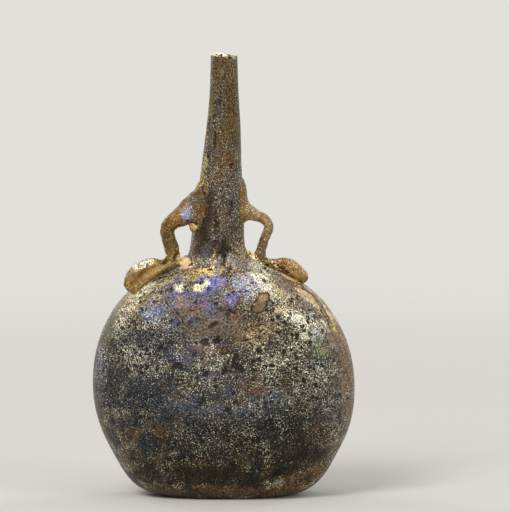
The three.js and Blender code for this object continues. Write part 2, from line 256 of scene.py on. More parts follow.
def fine_noise(tree, spot, scale, detail=2.0, roughness=0.5, output=0):
    """A noise with that many waves to the metre, as a number or, from output 1, as a vector."""
    return put(tree, "ShaderNodeTexNoise", {"Vector": spot, "Scale": scale, "Detail": detail,
                                            "Roughness": roughness}).outputs[output]

# %% Helpers for Geometry Nodes
def new_tree(name, sizes):
    """A Geometry Nodes tree with its named inputs, and the sockets that they feed."""
    tree = bpy.data.node_groups.new(name, "GeometryNodeTree")
    for way in ("INPUT", "OUTPUT"):
        tree.interface.new_socket("Geometry", in_out=way, socket_type="NodeSocketGeometry")
    for label, value in sizes.items():
        kind = "NodeSocketInt" if isinstance(value, int) else "NodeSocketFloat"
        tree.interface.new_socket(label, in_out="INPUT", socket_type=kind)
    return tree, tree.nodes.new("NodeGroupInput").outputs


def named(tree, name):
    """What the points of a mesh carry under a name."""
    return put(tree, "GeometryNodeInputNamedAttribute", {"Name": name}).outputs[0]


def finish_tree(tree, geometry, finish):
    """Ends a tree in real faces that carry their finish."""
    real = put(tree, "GeometryNodeRealizeInstances", {0: geometry}).outputs[0]
    done = put(tree, "GeometryNodeSetMaterial", {"Geometry": real, "Material": finish}).outputs[0]
    tree.links.new(done, tree.nodes.new("NodeGroupOutput").inputs[0])


def grow(name, start, tree, sizes):
    """Runs a tree on a start mesh and keeps the result as a plain mesh."""
    holder = show(name, start)
    modifier = holder.modifiers.new(tree.name, "NODES")
    modifier.node_group = tree
    for item in tree.interface.items_tree:
        if item.in_out == "INPUT" and item.name in sizes:
            modifier[item.identifier] = sizes[item.name]
    graph = bpy.context.evaluated_depsgraph_get()
    grown = bpy.data.meshes.new_from_object(holder.evaluated_get(graph), depsgraph=graph)
    holder.modifiers.clear()
    holder.data = grown
    grown.name = name
    return holder

# %% Stations as points that a tree can read
def store(mesh, name, values, kind="FLOAT"):
    """Keeps one value for each point of a mesh."""
    attribute = mesh.attributes.get(name) or mesh.attributes.new(name, kind, "POINT")
    key = {"FLOAT": "value", "FLOAT_COLOR": "color"}[kind]
    attribute.data.foreach_set(key, np.asarray(values, np.float32).ravel())


def power_at(half_widths, half_depths):
    """How square a ring is: 2 for an ellipse, and more where the body is flattened."""
    flattening = 1 - half_depths / np.maximum(half_widths, 1e-6)
    squareness = np.clip(flattening / (1 - body_depth / body_width), 0, 1)
    return round_power + (belly_power - round_power) * squareness


def levels_of(stations):
    """A chain of points, one for each station, that also carry what shapes their rings."""
    chain = bpy.data.meshes.new("levels")
    links = [(i, i + 1) for i in range(len(stations) - 1)]
    chain.from_pydata([tuple(row) for row in stations], links, [])
    height = stations[:, 2]
    near_mouth = smoothstep(overall_height - mouth_diameter, overall_height, height)
    store(chain, "power", power_at(stations[:, 0], stations[:, 1]))
    store(chain, "lean", lean_at(height))
    store(chain, "slant", rim_slant / 2 * near_mouth)
    return chain


levels = levels_of(stations)
print(len(stations), "levels")

# %% The tree that blows the form
weathered_glass = bpy.data.materials.new("weathered_glass")
form_sizes = {"Sides": 256, "Weld distance": 0.01 * mm}
form_tree, given = new_tree("blown_form", form_sizes)
add, less, times, shared, power_of, size_of = sums(
    form_tree, "ADD", "SUBTRACT", "MULTIPLY", "DIVIDE", "POWER", "ABSOLUTE")
counts = put(form_tree, "GeometryNodeAttributeDomainSize", {0: given["Geometry"]}).outputs
round_trip = add(given["Sides"], 1.0)
sheet = put(form_tree, "GeometryNodeMeshGrid",
            {"Vertices X": counts["Point Count"], "Vertices Y": round_trip})
index = put(form_tree, "GeometryNodeInputIndex").outputs[0]
level = calc(form_tree, "FLOOR", shared(add(index, 0.5), round_trip))
step = less(index, times(level, round_trip))
angle = times(shared(step, given["Sides"]), 2 * math.pi)


def at_level(value, kind="FLOAT"):
    """A value of the station that a grid point belongs to."""
    feeds = {"Geometry": given["Geometry"], "Index": level, "Value": value}
    return put(form_tree, "GeometryNodeSampleIndex", feeds, data_type=kind).outputs[0]


here = put(form_tree, "GeometryNodeInputPosition").outputs[0]
half_width, half_depth, ring_height = put(
    form_tree, "ShaderNodeSeparateXYZ", {0: at_level(here, "FLOAT_VECTOR")}).outputs
power, slant, lean = (at_level(named(form_tree, name)) for name in ("power", "slant", "lean"))
across, along = calc(form_tree, "COSINE", angle), calc(form_tree, "SINE", angle)
spread = add(power_of(size_of(across), power), power_of(size_of(along), power))
reach = power_of(spread, shared(-1.0, power))
place = put(form_tree, "ShaderNodeCombineXYZ", {
    0: add(times(times(across, reach), half_width), lean),
    1: times(times(along, reach), half_depth),
    2: less(ring_height, times(slant, add(across, 1.0)))}).outputs[0]
sent = put(form_tree, "GeometryNodeSetPosition",
           {"Geometry": sheet.outputs[0], "Position": place}).outputs[0]
welded = put(form_tree, "GeometryNodeMergeByDistance",
             {"Geometry": sent, "Distance": given["Weld distance"]}).outputs[0]
finish_tree(form_tree, welded, weathered_glass)
vessel = grow("vessel_glass", levels, form_tree, form_sizes)


def face_out(mesh):
    """Turns a closed mesh so that its faces point outwards. Gives its cm3 and its open edges."""
    work = bmesh.new()
    work.from_mesh(mesh)
    if work.calc_volume(signed=True) < 0:
        bmesh.ops.reverse_faces(work, faces=work.faces)
    open_edges = sum(edge.is_boundary for edge in work.edges)
    volume = work.calc_volume(signed=True)
    work.to_mesh(mesh)
    work.free()
    mesh.polygons.foreach_set("use_smooth", [True] * len(mesh.polygons))
    return round(volume / (10 * mm) ** 3, 1), open_edges


print("glass in cm3 and open edges:", face_out(vessel.data), "faces", len(vessel.data.polygons))

# %% The same form without its hollow, to measure from
filled_stations = np.vstack([skin, [0, 0, overall_height]])
filled = grow("filled", levels_of(filled_stations), form_tree, form_sizes)
print("filled form in cm3 and open edges:", face_out(filled.data))
smooth_skin = BVHTree.FromPolygons([vertex.co for vertex in filled.data.vertices],
                                   [list(face.vertices) for face in filled.data.polygons])
bpy.data.objects.remove(filled)

# %% [markdown]
# ## Where the weathering lies
# No two square centimetres of the real skin are alike, so the finish needs to know where it is.
# Soft patches, laid like dabs of a broad brush, give each point of the glass the colour of its bare
# film, how much crust covers it, the crust's colour, how much the film shines in colours, and how
# far it is from each flaw. A few of them also paint light: shade towards the bottom, a bluish gloss
# on the left shoulder and a highlight in a window of bare glass. Their places are read off the
# photograph in its own pixels, and the far side, which it doesn't show, gets its own patches of the
# same kinds. The fine grain is left to the finish, which breaks up every edge.

# %% Colours of film and crust
film_colours = {
    "slate": (43, 47, 52), "ink": (26, 34, 50), "umber": (61, 46, 29), "peat": (20, 17, 12),
    "ash": (56, 59, 61), "mist": (78, 85, 96), "clay": (132, 110, 88), "moss": (98, 110, 80),
    "khaki": (92, 72, 40), "amber": (92, 64, 24), "ochre": (126, 92, 38), "rose": (118, 88, 70),
    "peach": (196, 152, 112), "violet": (124, 113, 140), "lavender": (144, 138, 164),
    "blue": (140, 142, 232), "deep_blue": (92, 94, 184), "sky": (100, 110, 146),
    "silver": (112, 108, 98), "fawn": (120, 104, 90), "window_high": (176, 136, 92),
    "window_low": (132, 110, 78), "sand": (116, 98, 66), "tail_pale": (190, 162, 106),
    "honey": (130, 92, 30), "tan": (158, 130, 86), "glow": (156, 118, 54), "olive": (88, 68, 34),
    "soot": (26, 22, 17), "rust": (120, 66, 34),
}
crust_colours = {
    "cream": (233, 228, 196), "butter": (236, 228, 176), "chalk": (236, 230, 212),
    "gold": (224, 194, 118), "sandy": (186, 162, 112), "frost": (190, 192, 218),
    "grey": (140, 143, 136), "dim": (190, 186, 158), "neck_sand": (160, 136, 82),
    "dull": (128, 116, 92), "lichen": (170, 176, 132), "blush": (220, 186, 146),
    "ivory": (224, 214, 186), "bone": (202, 196, 170), "straw": (214, 184, 116),
}
print(len(film_colours) + len(crust_colours), "colours")

# %% Film on the near side
# Column, row, half width, half height, turn, colour, strength
near_film = [
    (225, 380, 150, 90, 0, "slate", .85), (250, 345, 60, 30, 0, "umber", .4),
    (280, 385, 40, 30, 0, "umber", .35), (240, 400, 34, 18, -10, "ash", .55),
    (200, 352, 30, 14, 0, "violet", .3), (180, 400, 24, 12, 0, "violet", .2),
    # The peat dabs low on the body, here and further down, darken it towards the bottom. This is
    # partly the glass's own darker, browner base and partly painted shade where the light falls off
    # downwards.
    (225, 455, 120, 34, 0, "peat", .65), (140, 392, 42, 44, 0, "ink", .6),
    (150, 402, 20, 16, 30, "ink", .8), (128, 343, 16, 13, 0, "ink", .8),
    (165, 330, 22, 12, 20, "ink", .6), (98, 380, 16, 76, 0, "peat", .35),
    (112, 350, 6, 14, 0, "ink", .5), (124, 298, 22, 22, -45, "sand", .75),
    (108, 322, 8, 24, 12, "moss", .4), (305, 436, 34, 26, -20, "peat", .6),
    (318, 428, 12, 14, 0, "umber", .7), (330, 400, 24, 34, 0, "ash", .4),
    (252, 398, 40, 12, -8, "mist", .75), (196, 408, 26, 9, 4, "mist", .45),
    (290, 372, 24, 12, 0, "umber", .6), (212, 372, 30, 12, 0, "mist", .3),
    (340, 345, 10, 56, -8, "rose", .5), (347, 372, 6, 60, 2, "ochre", .45),
    (329, 318, 7, 26, -32, "ochre", .75), (322, 345, 13, 17, -10, "moss", .75),
    (320, 363, 12, 7, 0, "slate", .8), (206, 316, 36, 24, 12, "fawn", .95),
    # The violet, sky and blue dabs on the left shoulder, here and just below, are the film's
    # iridescence and also paint its bluish gloss.
    (181, 295, 26, 15, 20, "violet", .9), (182, 303, 9, 6, 0, "peach", .4),
    (196, 309, 12, 5, 0, "rose", .5), (205, 300, 24, 8, 0, "violet", .5),
    (232, 262, 28, 12, 0, "lavender", .55), (154, 311, 14, 11, -20, "sky", .6),
    (150, 308, 9, 7, -20, "blue", .5), (166, 322, 22, 8, 35, "sky", .35),
    (217, 282, 15, 7, -4, "blue", .98), (231, 296.5, 8, 9, 10, "blue", .5),
    (246, 289, 12, 13, 0, "lavender", .7), (243, 279, 9, 6, 0, "blue", .4),
    (262, 284, 18, 20, 0, "silver", .8), (292, 296, 22, 18, 30, "sand", .8),
    (280, 283, 12, 8, 30, "rose", .6), (302, 289, 30, 12, 42, "clay", .9),
    (331, 322, 30, 9, 60, "clay", .85), (312, 312, 14, 4, 45, "rose", .8),
    (302, 322, 24, 18, 30, "silver", .55), (300, 304, 16, 6, 25, "rose", .7),
    (277, 322, 30, 20, 0, "umber", .7), (260, 330, 22, 10, 0, "ochre", .25),
    # The window of bare glass is its own tan-brown, and its upper lobe is painted lighter as a
    # highlight.
    (262, 298, 8, 6.5, 0, "window_high", 1), (259.5, 306.5, 9.5, 8, 0, "window_low", 1),
    (228, 310, 9, 3, 0, "umber", .7), (212, 324, 7, 3.6, -28, "soot", .75),
    (216, 340, 4.5, 3, 0, "soot", .85), (161, 347, 3, 3.4, 0, "soot", .85),
    (149, 353, 3, 2.6, 0, "soot", .8), (167, 368, 5, 5, 0, "khaki", .7),
    (133, 370, 5.5, 5.5, 0, "khaki", .8), (236, 360, 4, 8, 0, "peat", .6),
    (163, 384, 4.5, 4, 0, "khaki", .6), (195, 352, 10, 4, 20, "slate", .7),
    (170, 356, 6, 6, 0, "ash", .7), (203, 343, 10, 7, 0, "rose", .35),
    (238, 341, 9, 5, 0, "khaki", .55), (225, 492, 110, 5, 0, "amber", .7),
    (302, 476, 26, 10, -28, "amber", .4), (160, 480, 36, 8, 20, "umber", .7),
    (340, 440, 8, 30, 18, "khaki", .55), (150, 296, 20, 10, -30, "sand", .6),
    (190, 266, 8, 6, 0, "peach", .8), (225, 120, 26, 70, 0, "khaki", .9),
    (206, 110, 6, 60, 2, "umber", .9), (202, 176, 5, 26, 6, "umber", .9),
    (221, 104, 6, 20, 4, "peat", .3), (222, 215, 14, 44, 0, "slate", .4),
    (229, 205, 12, 40, 0, "fawn", .3), (203, 222, 7, 34, 8, "amber", .75),
    (208, 213, 5, 26, 4, "umber", .9), (213, 140, 5, 34, 5, "violet", .15),
    (231, 164, 5, 7, 0, "rust", .6), (233, 215, 8, 34, 0, "ash", .4),
    (212, 250, 24, 9, 0, "umber", .8), (200, 228, 8, 22, 6, "soot", .5),
    (204, 251, 7, 7, 20, "violet", .3), (224, 259, 2, 12, 0, "soot", .5),
    (215, 72, 8, 14, 0, "khaki", .6), (229, 66, 6, 5, 0, "rust", .3),
    (203, 351, 15, 5, 0, "rose", .55), (222, 351, 6, 4, 0, "ochre", .8),
    (257, 338, 18, 9, 0, "ochre", .4), (258, 389, 15, 8, 0, "rust", .4),
    (243, 398, 9, 7, 0, "khaki", .6), (185, 378, 10, 8, 0, "umber", .5),
    (120, 415, 14, 20, 0, "slate", .4), (262, 418, 30, 10, 0, "ink", .35),
    (300, 390, 16, 20, 0, "umber", .5), (146, 338, 16, 12, 20, "ink", .7),
    (200, 476, 84, 11, 0, "peat", .6), (300, 462, 26, 12, -20, "peat", .6),
]
print(len(near_film), "dabs of film")

# %% Crust on the near side
# The same, and before the strength how much crust covers the place
near_crust = [
    (225, 385, 150, 95, 0, "bone", .31, .9), (225, 366, 80, 44, 0, "cream", .37, .6),
    # The dim crust low on the body, and the dull crust further down, are partly the finer, darker
    # crust there and partly painted shade where the light falls off downwards.
    (225, 455, 130, 34, 0, "dim", .3, .9), (228, 470, 70, 14, 0, "dim", .32, .5),
    (140, 392, 40, 40, 0, "grey", .3, .7), (140, 355, 26, 26, 0, "cream", .44, .5),
    (124, 298, 22, 22, -45, "sandy", .57, .85), (108, 345, 14, 50, 10, "cream", .28, .6),
    (98, 385, 14, 60, 0, "dim", .27, .8), (307, 326, 22, 17, 30, "cream", .44, .95),
    (304, 318, 14, 6, 36, "chalk", .58, .85), (298, 320, 8, 6, 30, "chalk", .74, .85),
    (311, 328, 8, 5, 30, "chalk", .68, .85), (304, 338, 7, 4, 20, "cream", .7, .7),
    (318, 338, 10, 12, 20, "frost", .55, .5), (262, 284, 16, 17, 0, "cream", .5, .95),
    (257, 279, 8, 6, 30, "chalk", .8, .85), (268, 287, 7, 4.4, 0, "chalk", .82, .85),
    (273, 294, 5, 4, 0, "chalk", .74, .8), (252, 292, 3, 5, 10, "chalk", .78, .8),
    (253, 301, 2.4, 3, 0, "chalk", .7, .7), (283, 300, 14, 10, 20, "cream", .55, .7),
    (304, 289, 26, 11, 42, "sandy", .36, .85), (330, 320, 26, 8, 60, "sandy", .34, .8),
    (280, 309, 7, 3, 0, "blush", .7, .8), (255, 330, 32, 18, 0, "sandy", .48, .8),
    (285, 350, 30, 20, 10, "cream", .46, .6), (318, 380, 20, 26, 0, "cream", .42, .6),
    (322, 347, 12, 15, 0, "lichen", .5, .85), (206, 316, 36, 22, 12, "dull", .26, .95),
    # The frost crust on the left shoulder is bluish crust and also paints the shoulder's bluish
    # gloss.
    (181, 296, 26, 14, 20, "frost", .28, .9), (154, 311, 14, 10, -20, "frost", .34, .8),
    (158, 325, 14, 8, 0, "cream", .48, .5), (216, 282, 16, 7, 0, "frost", .3, .95),
    (232, 299, 7, 8, 0, "frost", .2, .95), (245, 288, 10, 11, 0, "frost", .42, .8),
    (249, 283, 6, 5, 0, "blush", .6, .7), (238, 294, 5, 5, 0, "blush", .5, .6),
    (176, 288, 5, 3.6, 25, "butter", .86, .95), (183, 285.5, 4.4, 3, -10, "butter", .8, .9),
    (180, 290, 3, 2.4, 0, "chalk", .9, .8), (198, 287.5, 5, 3.6, -10, "butter", .84, .95),
    (206, 284.5, 4, 3.4, 0, "butter", .84, .95), (202, 290, 4, 2.2, 0, "chalk", .8, .7),
    (214, 270, 17, 5, -4, "gold", .56, .8), (228, 262, 8, 6, 30, "gold", .5, .7),
    (196, 272, 9, 3, -20, "gold", .56, .7), (207, 271, 4.5, 3, 0, "gold", .76, .95),
    (215, 268, 5, 2.6, -8, "cream", .7, .95), (213, 274, 6, 3, 10, "gold", .72, .95),
    (222, 272, 4.5, 3, 0, "gold", .64, .9), (233, 267, 4, 3.4, 0, "gold", .56, .8),
    (196, 276, 5, 3, 0, "sandy", .6, .8), (236, 273, 7, 5, 0, "blush", .44, .8),
    (187.5, 263, 7, 4.4, 0, "blush", .86, 1), (300, 436, 38, 26, -20, "dim", .23, .8),
    (340, 345, 10, 56, -8, "blush", .3, .9), (330, 400, 22, 30, 0, "grey", .44, .6),
    (217, 326, 16, 10, 0, "grey", .36, .6), (195, 352, 9, 4, 20, "bone", .2, .9),
    (170, 356, 6, 5, 0, "frost", .2, .9), (225, 492, 130, 6, 0, "dull", .24, .9),
    (302, 478, 26, 9, -28, "gold", .26, .7), (150, 296, 20, 8, -30, "sandy", .6, .7),
    (166, 281, 14, 3, -28, "gold", .56, .8), (225, 120, 26, 72, 0, "neck_sand", .33, .9),
    (224, 205, 22, 50, 0, "bone", .3, .8), (228, 222, 12, 28, 0, "cream", .28, .7),
    (203, 222, 7, 30, 8, "sandy", .16, .9), (208, 213, 5, 26, 4, "dull", .12, .8),
    (221, 100, 6, 16, 0, "grey", .42, .6), (228, 172, 14, 6, 0, "bone", .36, .5),
    (212, 250, 24, 8, 0, "dull", .24, .8), (208, 110, 2.6, 40, 3, "sandy", .42, .8),
    (203.5, 172, 3.2, 14, 6, "sandy", .56, .85), (240, 254, 10, 10, 30, "gold", .5, .7),
    (258, 268, 12, 8, 30, "cream", .62, .8), (214, 258, 3, 9, 0, "gold", .5, .8),
    (316, 296, 14, 1.8, 42, "blush", .74, .9), (325, 307, 16, 2, 50, "cream", .66, .9),
    (142, 287, 18, 9, -35, "cream", .74, .85), (124, 318, 9, 20, 20, "cream", .5, .7),
    (146, 338, 15, 11, 20, "grey", .28, .7), (230, 398, 30, 9, 0, "bone", .24, .7),
    (150, 428, 50, 16, 0, "dim", .24, .7), (200, 476, 84, 11, 0, "dull", .19, .75),
    (300, 462, 28, 12, -20, "dull", .19, .6), (101, 368, 6, 26, 0, "frost", .44, .7),
    (240, 285, 14, 8, 0, "frost", .64, .65), (289, 317, 8, 4.5, 20, "chalk", .64, .8),
    (334, 322, 16, 2, 60, "gold", .5, .8), (309, 302, 12, 1.6, 40, "cream", .64, .8),
    (286, 276, 13, 2.2, 38, "blush", .8, .9), (296, 281, 14, 2.2, 40, "gold", .72, .9),
    (304, 293, 12, 2, 42, "blush", .8, .9), (317, 307, 14, 2, 48, "sandy", .8, .9),
    (322, 295, 12, 2, 46, "gold", .72, .9), (330, 314, 12, 2, 56, "blush", .78, .9),
    (336, 330, 14, 1.8, 64, "gold", .7, .9), (324, 322, 10, 1.6, 54, "cream", .74, .9),
    (280, 290, 10, 2.4, 34, "sandy", .62, .8), (290, 300, 9, 1.6, 36, "blush", .56, .8),
    (341, 344, 22, 2.4, 76, "gold", .44, .7), (230, 262, 2.5, 7, 0, "gold", .46, .8),
    (214, 240, 5, 9, 0, "frost", .36, .6),
]
print(len(near_crust), "dabs of crust")

# %% Lustre on both sides
# Where the film shines in colours, and how much, before the strength
near_lustre = [
    (215, 292, 62, 24, 6, 1, .95), (150, 312, 22, 16, 0, .8, .9), (205, 320, 34, 20, 0, .4, .8),
    (320, 345, 18, 22, 0, .6, .8), (140, 385, 36, 36, 0, .35, .8), (245, 400, 60, 26, 0, .3, .7),
    (207, 250, 10, 18, 0, .5, .7), (340, 340, 10, 50, 0, .5, .8), (262, 300, 10, 14, 0, 0, 1),
    (216, 110, 8, 40, 0, .3, .7), (231, 297, 9, 9, 0, .25, .95),
]
far_lustre = [(235, 292, 60, 22, 0, 1, .95), (270, 400, 40, 36, 0, .35, .8),
              (310, 350, 20, 26, 0, .5, .8)]
print(len(near_lustre) + len(far_lustre), "dabs of lustre")

# %% Film and crust on the far side
far_film = [
    (225, 380, 150, 90, 0, "slate", .7), (180, 350, 50, 34, 0, "umber", .6),
    (270, 400, 50, 40, 0, "ink", .6), (310, 350, 22, 30, 0, "moss", .5),
    # The peat dab low on the far side darkens it towards the bottom. This is partly the glass's own
    # darker base and partly painted shade where the light falls off downwards.
    (220, 455, 110, 34, 0, "peat", .6), (140, 400, 26, 40, 10, "ash", .6),
    (250, 300, 42, 22, -10, "fawn", .9), (190, 292, 26, 14, -12, "violet", .85),
    (170, 306, 14, 10, 0, "sky", .8), (236, 284, 16, 7, 6, "deep_blue", .9),
    (275, 290, 18, 12, 20, "lavender", .75), (300, 316, 18, 14, 30, "silver", .7),
    (110, 350, 12, 60, 6, "rose", .6), (205, 330, 24, 10, 20, "ochre", .4),
    (150, 300, 22, 14, -30, "sand", .8), (225, 492, 110, 6, 0, "amber", .85),
    (225, 120, 26, 72, 0, "khaki", .9), (228, 212, 14, 44, 0, "slate", .5),
    (212, 230, 6, 30, 6, "amber", .6), (230, 345, 6, 4, 10, "soot", .85),
    (196, 372, 5, 4, 0, "soot", .8), (264, 337, 10, 7, 0, "window_low", .95),
    (160, 352, 5, 6, 0, "khaki", .8), (300, 380, 8, 6, 0, "khaki", .6),
    (246, 292, 7, 6, 0, "blue", .8), (226, 288, 8, 5, 0, "blue", .9),
    (205, 296, 10, 6, 0, "lavender", .7), (198, 318, 9, 5, 0, "peach", .6),
    (196, 322, 6, 4, 0, "window_high", .8), (250, 372, 20, 8, 0, "rust", .3),
    (190, 392, 18, 8, 0, "ochre", .3), (310, 300, 10, 14, -30, "ochre", .5),
    (128, 380, 10, 24, 0, "moss", .4),
]
far_crust = [
    (225, 385, 150, 95, 0, "bone", .36, .9), (240, 380, 90, 50, 0, "cream", .42, .6),
    # The dim crust here, and the dull crust further down, are partly darker crust and partly
    # painted shade where the light falls off downwards.
    (225, 455, 130, 32, 0, "dim", .24, .9), (150, 305, 28, 18, -35, "sandy", .56, .85),
    (205, 302, 12, 8, 0, "chalk", .72, .9), (214, 296, 8, 6, 0, "chalk", .66, .8),
    (196, 310, 12, 6, -20, "cream", .6, .8), (300, 318, 24, 14, 30, "cream", .56, .9),
    (306, 324, 9, 6, 30, "chalk", .74, .8), (292, 308, 7, 4, 20, "chalk", .7, .7),
    (255, 305, 38, 18, -8, "dull", .26, .9), (236, 284, 16, 6, 6, "frost", .3, .9),
    (222, 269, 7, 3, 0, "gold", .76, .9), (233, 266, 5, 3, 10, "gold", .7, .9),
    (213, 272, 6, 3, -10, "sandy", .66, .8), (275, 290, 14, 9, 20, "blush", .46, .8),
    (320, 370, 20, 50, 0, "grey", .46, .7), (110, 350, 14, 50, 6, "blush", .36, .7),
    (225, 492, 130, 6, 0, "dull", .3, .9), (225, 120, 26, 72, 0, "neck_sand", .36, .9),
    (224, 208, 20, 48, 0, "bone", .32, .8), (180, 340, 26, 12, 10, "sandy", .52, .7),
    (290, 425, 40, 20, 10, "dim", .26, .8), (150, 420, 24, 18, 0, "cream", .44, .7),
]
print(len(far_film) + len(far_crust), "dabs on the far side")

# %% Bare glass, pits and folds
# Column, row, half width, half height, turn: where the crust has fallen off
near_bare = [(264, 298, 7, 6.4, -20), (259, 305.5, 9.4, 7, -12), (172, 342, 3.5, 2.4, 10),
             (224, 351, 4.5, 3, -20)]
far_bare = [(262, 336, 8, 5, 10), (268, 341, 5, 5, 0), (196, 322, 5, 3, -20)]
# The same for pits, flakes and creases, which are deeper and dark
near_pits = [
    (223, 308, 2.6, 1.8, 10), (234.5, 310.5, 3.2, 1.8, -8), (212, 325, 6, 2.2, -26),
    (203, 342, 3.6, 3.6, 0), (215, 340.6, 5.4, 2.6, 6), (161, 347, 3, 3, 0),
    (149, 353, 2.8, 2.2, 0), (176, 365, 5.4, 3.8, 10), (193, 355, 2.4, 3.2, 0),
    (205, 373, 2.6, 2.6, 0), (226, 371, 3.4, 3.6, 30), (234, 366, 2.2, 6, -8),
    (239, 369, 2.4, 4, 0), (199, 403, 3.6, 2.4, 20), (236, 352, 2, 4, 10), (247, 341, 2.6, 1.8, 0),
    (262, 331, 2.8, 2, 20), (270, 343, 3, 2.2, -10), (284, 322, 2.4, 1.8, 0),
    (303, 331, 2.6, 2, 0), (296, 338, 2, 1.6, 0), (287, 350, 3, 2, 20), (252, 362, 2.6, 2, 0),
    (182, 379, 2.8, 2.2, 0), (142, 372, 2.2, 2.2, 0), (128, 369, 2, 2.6, 0), (163, 384, 2.4, 2, 0),
    (216, 386, 2.4, 1.8, 0), (151, 323, 2.4, 1.8, 0), (224, 259, 1.2, 11, 2), (222, 248, 1, 6, -4),
    (229, 268, 3, 1.4, 30), (209.5, 159, 1.4, 4.5, 0), (231, 165, 1.6, 2.6, 0),
    (219, 100, .9, 9, 3), (215, 140, 1, 7, 4), (232, 205, 1, 6, 0), (216, 222, 1.1, 7, 3),
]
far_pits = [
    (230, 345, 5, 3, 10), (196, 372, 4, 3, 0), (262, 378, 3, 4, 20), (210, 318, 4, 2, -14),
    (282, 340, 3, 2, 0), (172, 352, 3, 3, 0), (240, 402, 3, 2, 0), (190, 338, 2.6, 2, 0),
    (300, 362, 3, 2.4, 0), (222, 256, 1.2, 9, -3),
]
# Routes of fine folds in the skin, each through its columns and rows
near_folds = [[(162, 290), (168, 303), (177, 316), (187, 327), (197, 333), (206, 331)],
              [(300, 284), (316, 300), (330, 322)]]
far_folds = [[(160, 300), (190, 312), (222, 316), (250, 310)]]
near_side = dict(film=near_film, crust=near_crust, lustre=near_lustre, bare=near_bare,
                 pits=near_pits, folds=near_folds)
far_side = dict(film=far_film, crust=far_crust, lustre=far_lustre, bare=far_bare,
                pits=far_pits, folds=far_folds)
print(sum(len(dabs) for side in (near_side, far_side) for dabs in side.values()), "dabs")

# %% Where a point shows in the picture
def places_of(mesh):
    return np.array([vertex.co for vertex in mesh.vertices])


def light_of(colour):
    """A colour as light, from the numbers that a painter's screen shows."""
    share = np.array(colour, float) / 255
    return np.where(share <= 0.04045, share / 12.92, ((share + 0.055) / 1.055) ** 2.4)


def where_seen(points):
    """The column and row of the picture at which each point shows."""
    away = points - np.array(camera.location)
    depth = -away @ np.array(view_back)
    scale = view_distance / depth / pixel
    return (picture_width / 2 + away[:, 0] * scale,
            picture_height / 2 - (away @ np.array(view_up)) * scale)


# Noise vectors would start from the clock, and the patches would lie otherwise each time
noise.seed_set(59)


def wandering(points, reach, size, seed):
    """A soft sideways wander for each point, so that no patch has a ruled edge."""
    shift = Vector((seed * 3.7, seed * 1.3, seed * 5.9))
    return np.array([noise.noise_vector(Vector(point) / size + shift) for point in points]) * reach


def ragged_edges(points):
    """Stretches the way out from the middle of a dab here and there, so that it ends in tongues."""
    broad, fine = (np.array([noise.noise(Vector(point) / size + Vector(shift)) for point in points])
                   for size, shift in ((6 * mm, (5, 1, 8)), (2.2 * mm, (2, 7, 4))))
    return 1 + 0.7 * broad + 0.5 * fine

# %% Laying the dabs
def way_out(column, row, dab):
    """How far out from the middle of a dab each point is, where 1 is its edge."""
    turn, right, down = math.radians(dab[4]), column - dab[0], row - dab[1]
    return np.hypot((right * math.cos(turn) + down * math.sin(turn)) / dab[2],
                    (down * math.cos(turn) - right * math.sin(turn)) / dab[3])


full_within_dab, gone_outside_dab = 0.55, 1.3


def lay(dabs, start, column, row, ragged, colours=None, place=5):
    """Lays dabs over a start value, one after another. The last number of a dab is its strength."""
    laid = np.ones((len(column), np.size(start))) * start
    for dab in dabs:
        out = way_out(column, row, dab) * ragged
        weight = (1 - smoothstep(full_within_dab, gone_outside_dab, out)) * dab[-1]
        value = light_of(colours[dab[place]]) if colours else dab[place]
        laid += (value - laid) * weight[:, None]
    return laid


def gap_to_dabs(column, row, dabs):
    """How far outside the nearest dab each point is, in metres, and less than nothing inside."""
    gap = np.full(len(column), 6.0)
    for dab in dabs:
        gap = np.minimum(gap, (way_out(column, row, dab) - 1) * min(dab[2], dab[3]))
    return gap[:, None] * pixel


def gap_to_folds(column, row, folds):
    """How far to one side or the other of the nearest fold each point is, in metres."""
    gap = np.full(len(column), 20.0)
    for fold in folds:
        route = curve_through(fold, steps=6)
        for start, end in zip(route, route[1:]):
            leg, right, down = end - start, column - start[0], row - start[1]
            kept = np.clip((right * leg[0] + down * leg[1]) / (leg @ leg), 0, 1)
            far = np.hypot(right - kept * leg[0], down - kept * leg[1])
            side = np.sign(right * leg[1] - down * leg[0])
            gap = np.where(far < np.abs(gap), far * np.where(side == 0, 1, side), gap)
    return gap[:, None] * pixel

# %% Weathering a mesh
def weather(mesh, near=near_side, far=far_side, film="khaki", crust="bone", cover=0.4, lustre=0.25):
    """Gives every point of a mesh its film, crust and lustre, and how far it is from each flaw."""
    points = places_of(mesh)
    stray = (wandering(points, reach=1.2 * mm, size=9 * mm, seed=1)
             + wandering(points, reach=0.7 * mm, size=2.5 * mm, seed=2))
    column, row = where_seen(points + stray)
    facing = -np.array([vertex.normal for vertex in mesh.vertices])[:, 1:2]
    front = smoothstep(-0.25, 0.25, facing + 0.1)
    ragged, sides = ragged_edges(points), []
    film_start, crust_start = light_of(film_colours[film]), light_of(crust_colours[crust])
    for dabs, columns in ((near, column), (far, 2 * axis_column - column)):
        on = partial(lay, column=columns, row=row, ragged=ragged)
        sides.append({
            "film": on(dabs["film"], film_start, colours=film_colours),
            "crust_colour": on(dabs["crust"], crust_start, colours=crust_colours),
            "crust": on(dabs["crust"], cover, place=6),
            "lustre": on(dabs["lustre"], lustre),
            "bare": gap_to_dabs(columns, row, dabs["bare"]),
            "pit": gap_to_dabs(columns, row, dabs["pits"]),
            "fold": gap_to_folds(columns, row, dabs["folds"])})
    for name, near_values in sides[0].items():
        mixed = near_values * front + sides[1][name] * (1 - front)
        if mixed.shape[1] == 3:
            store(mesh, name, np.hstack([mixed, np.ones((len(points), 1))]), "FLOAT_COLOR")
        else:
            store(mesh, name, mixed)


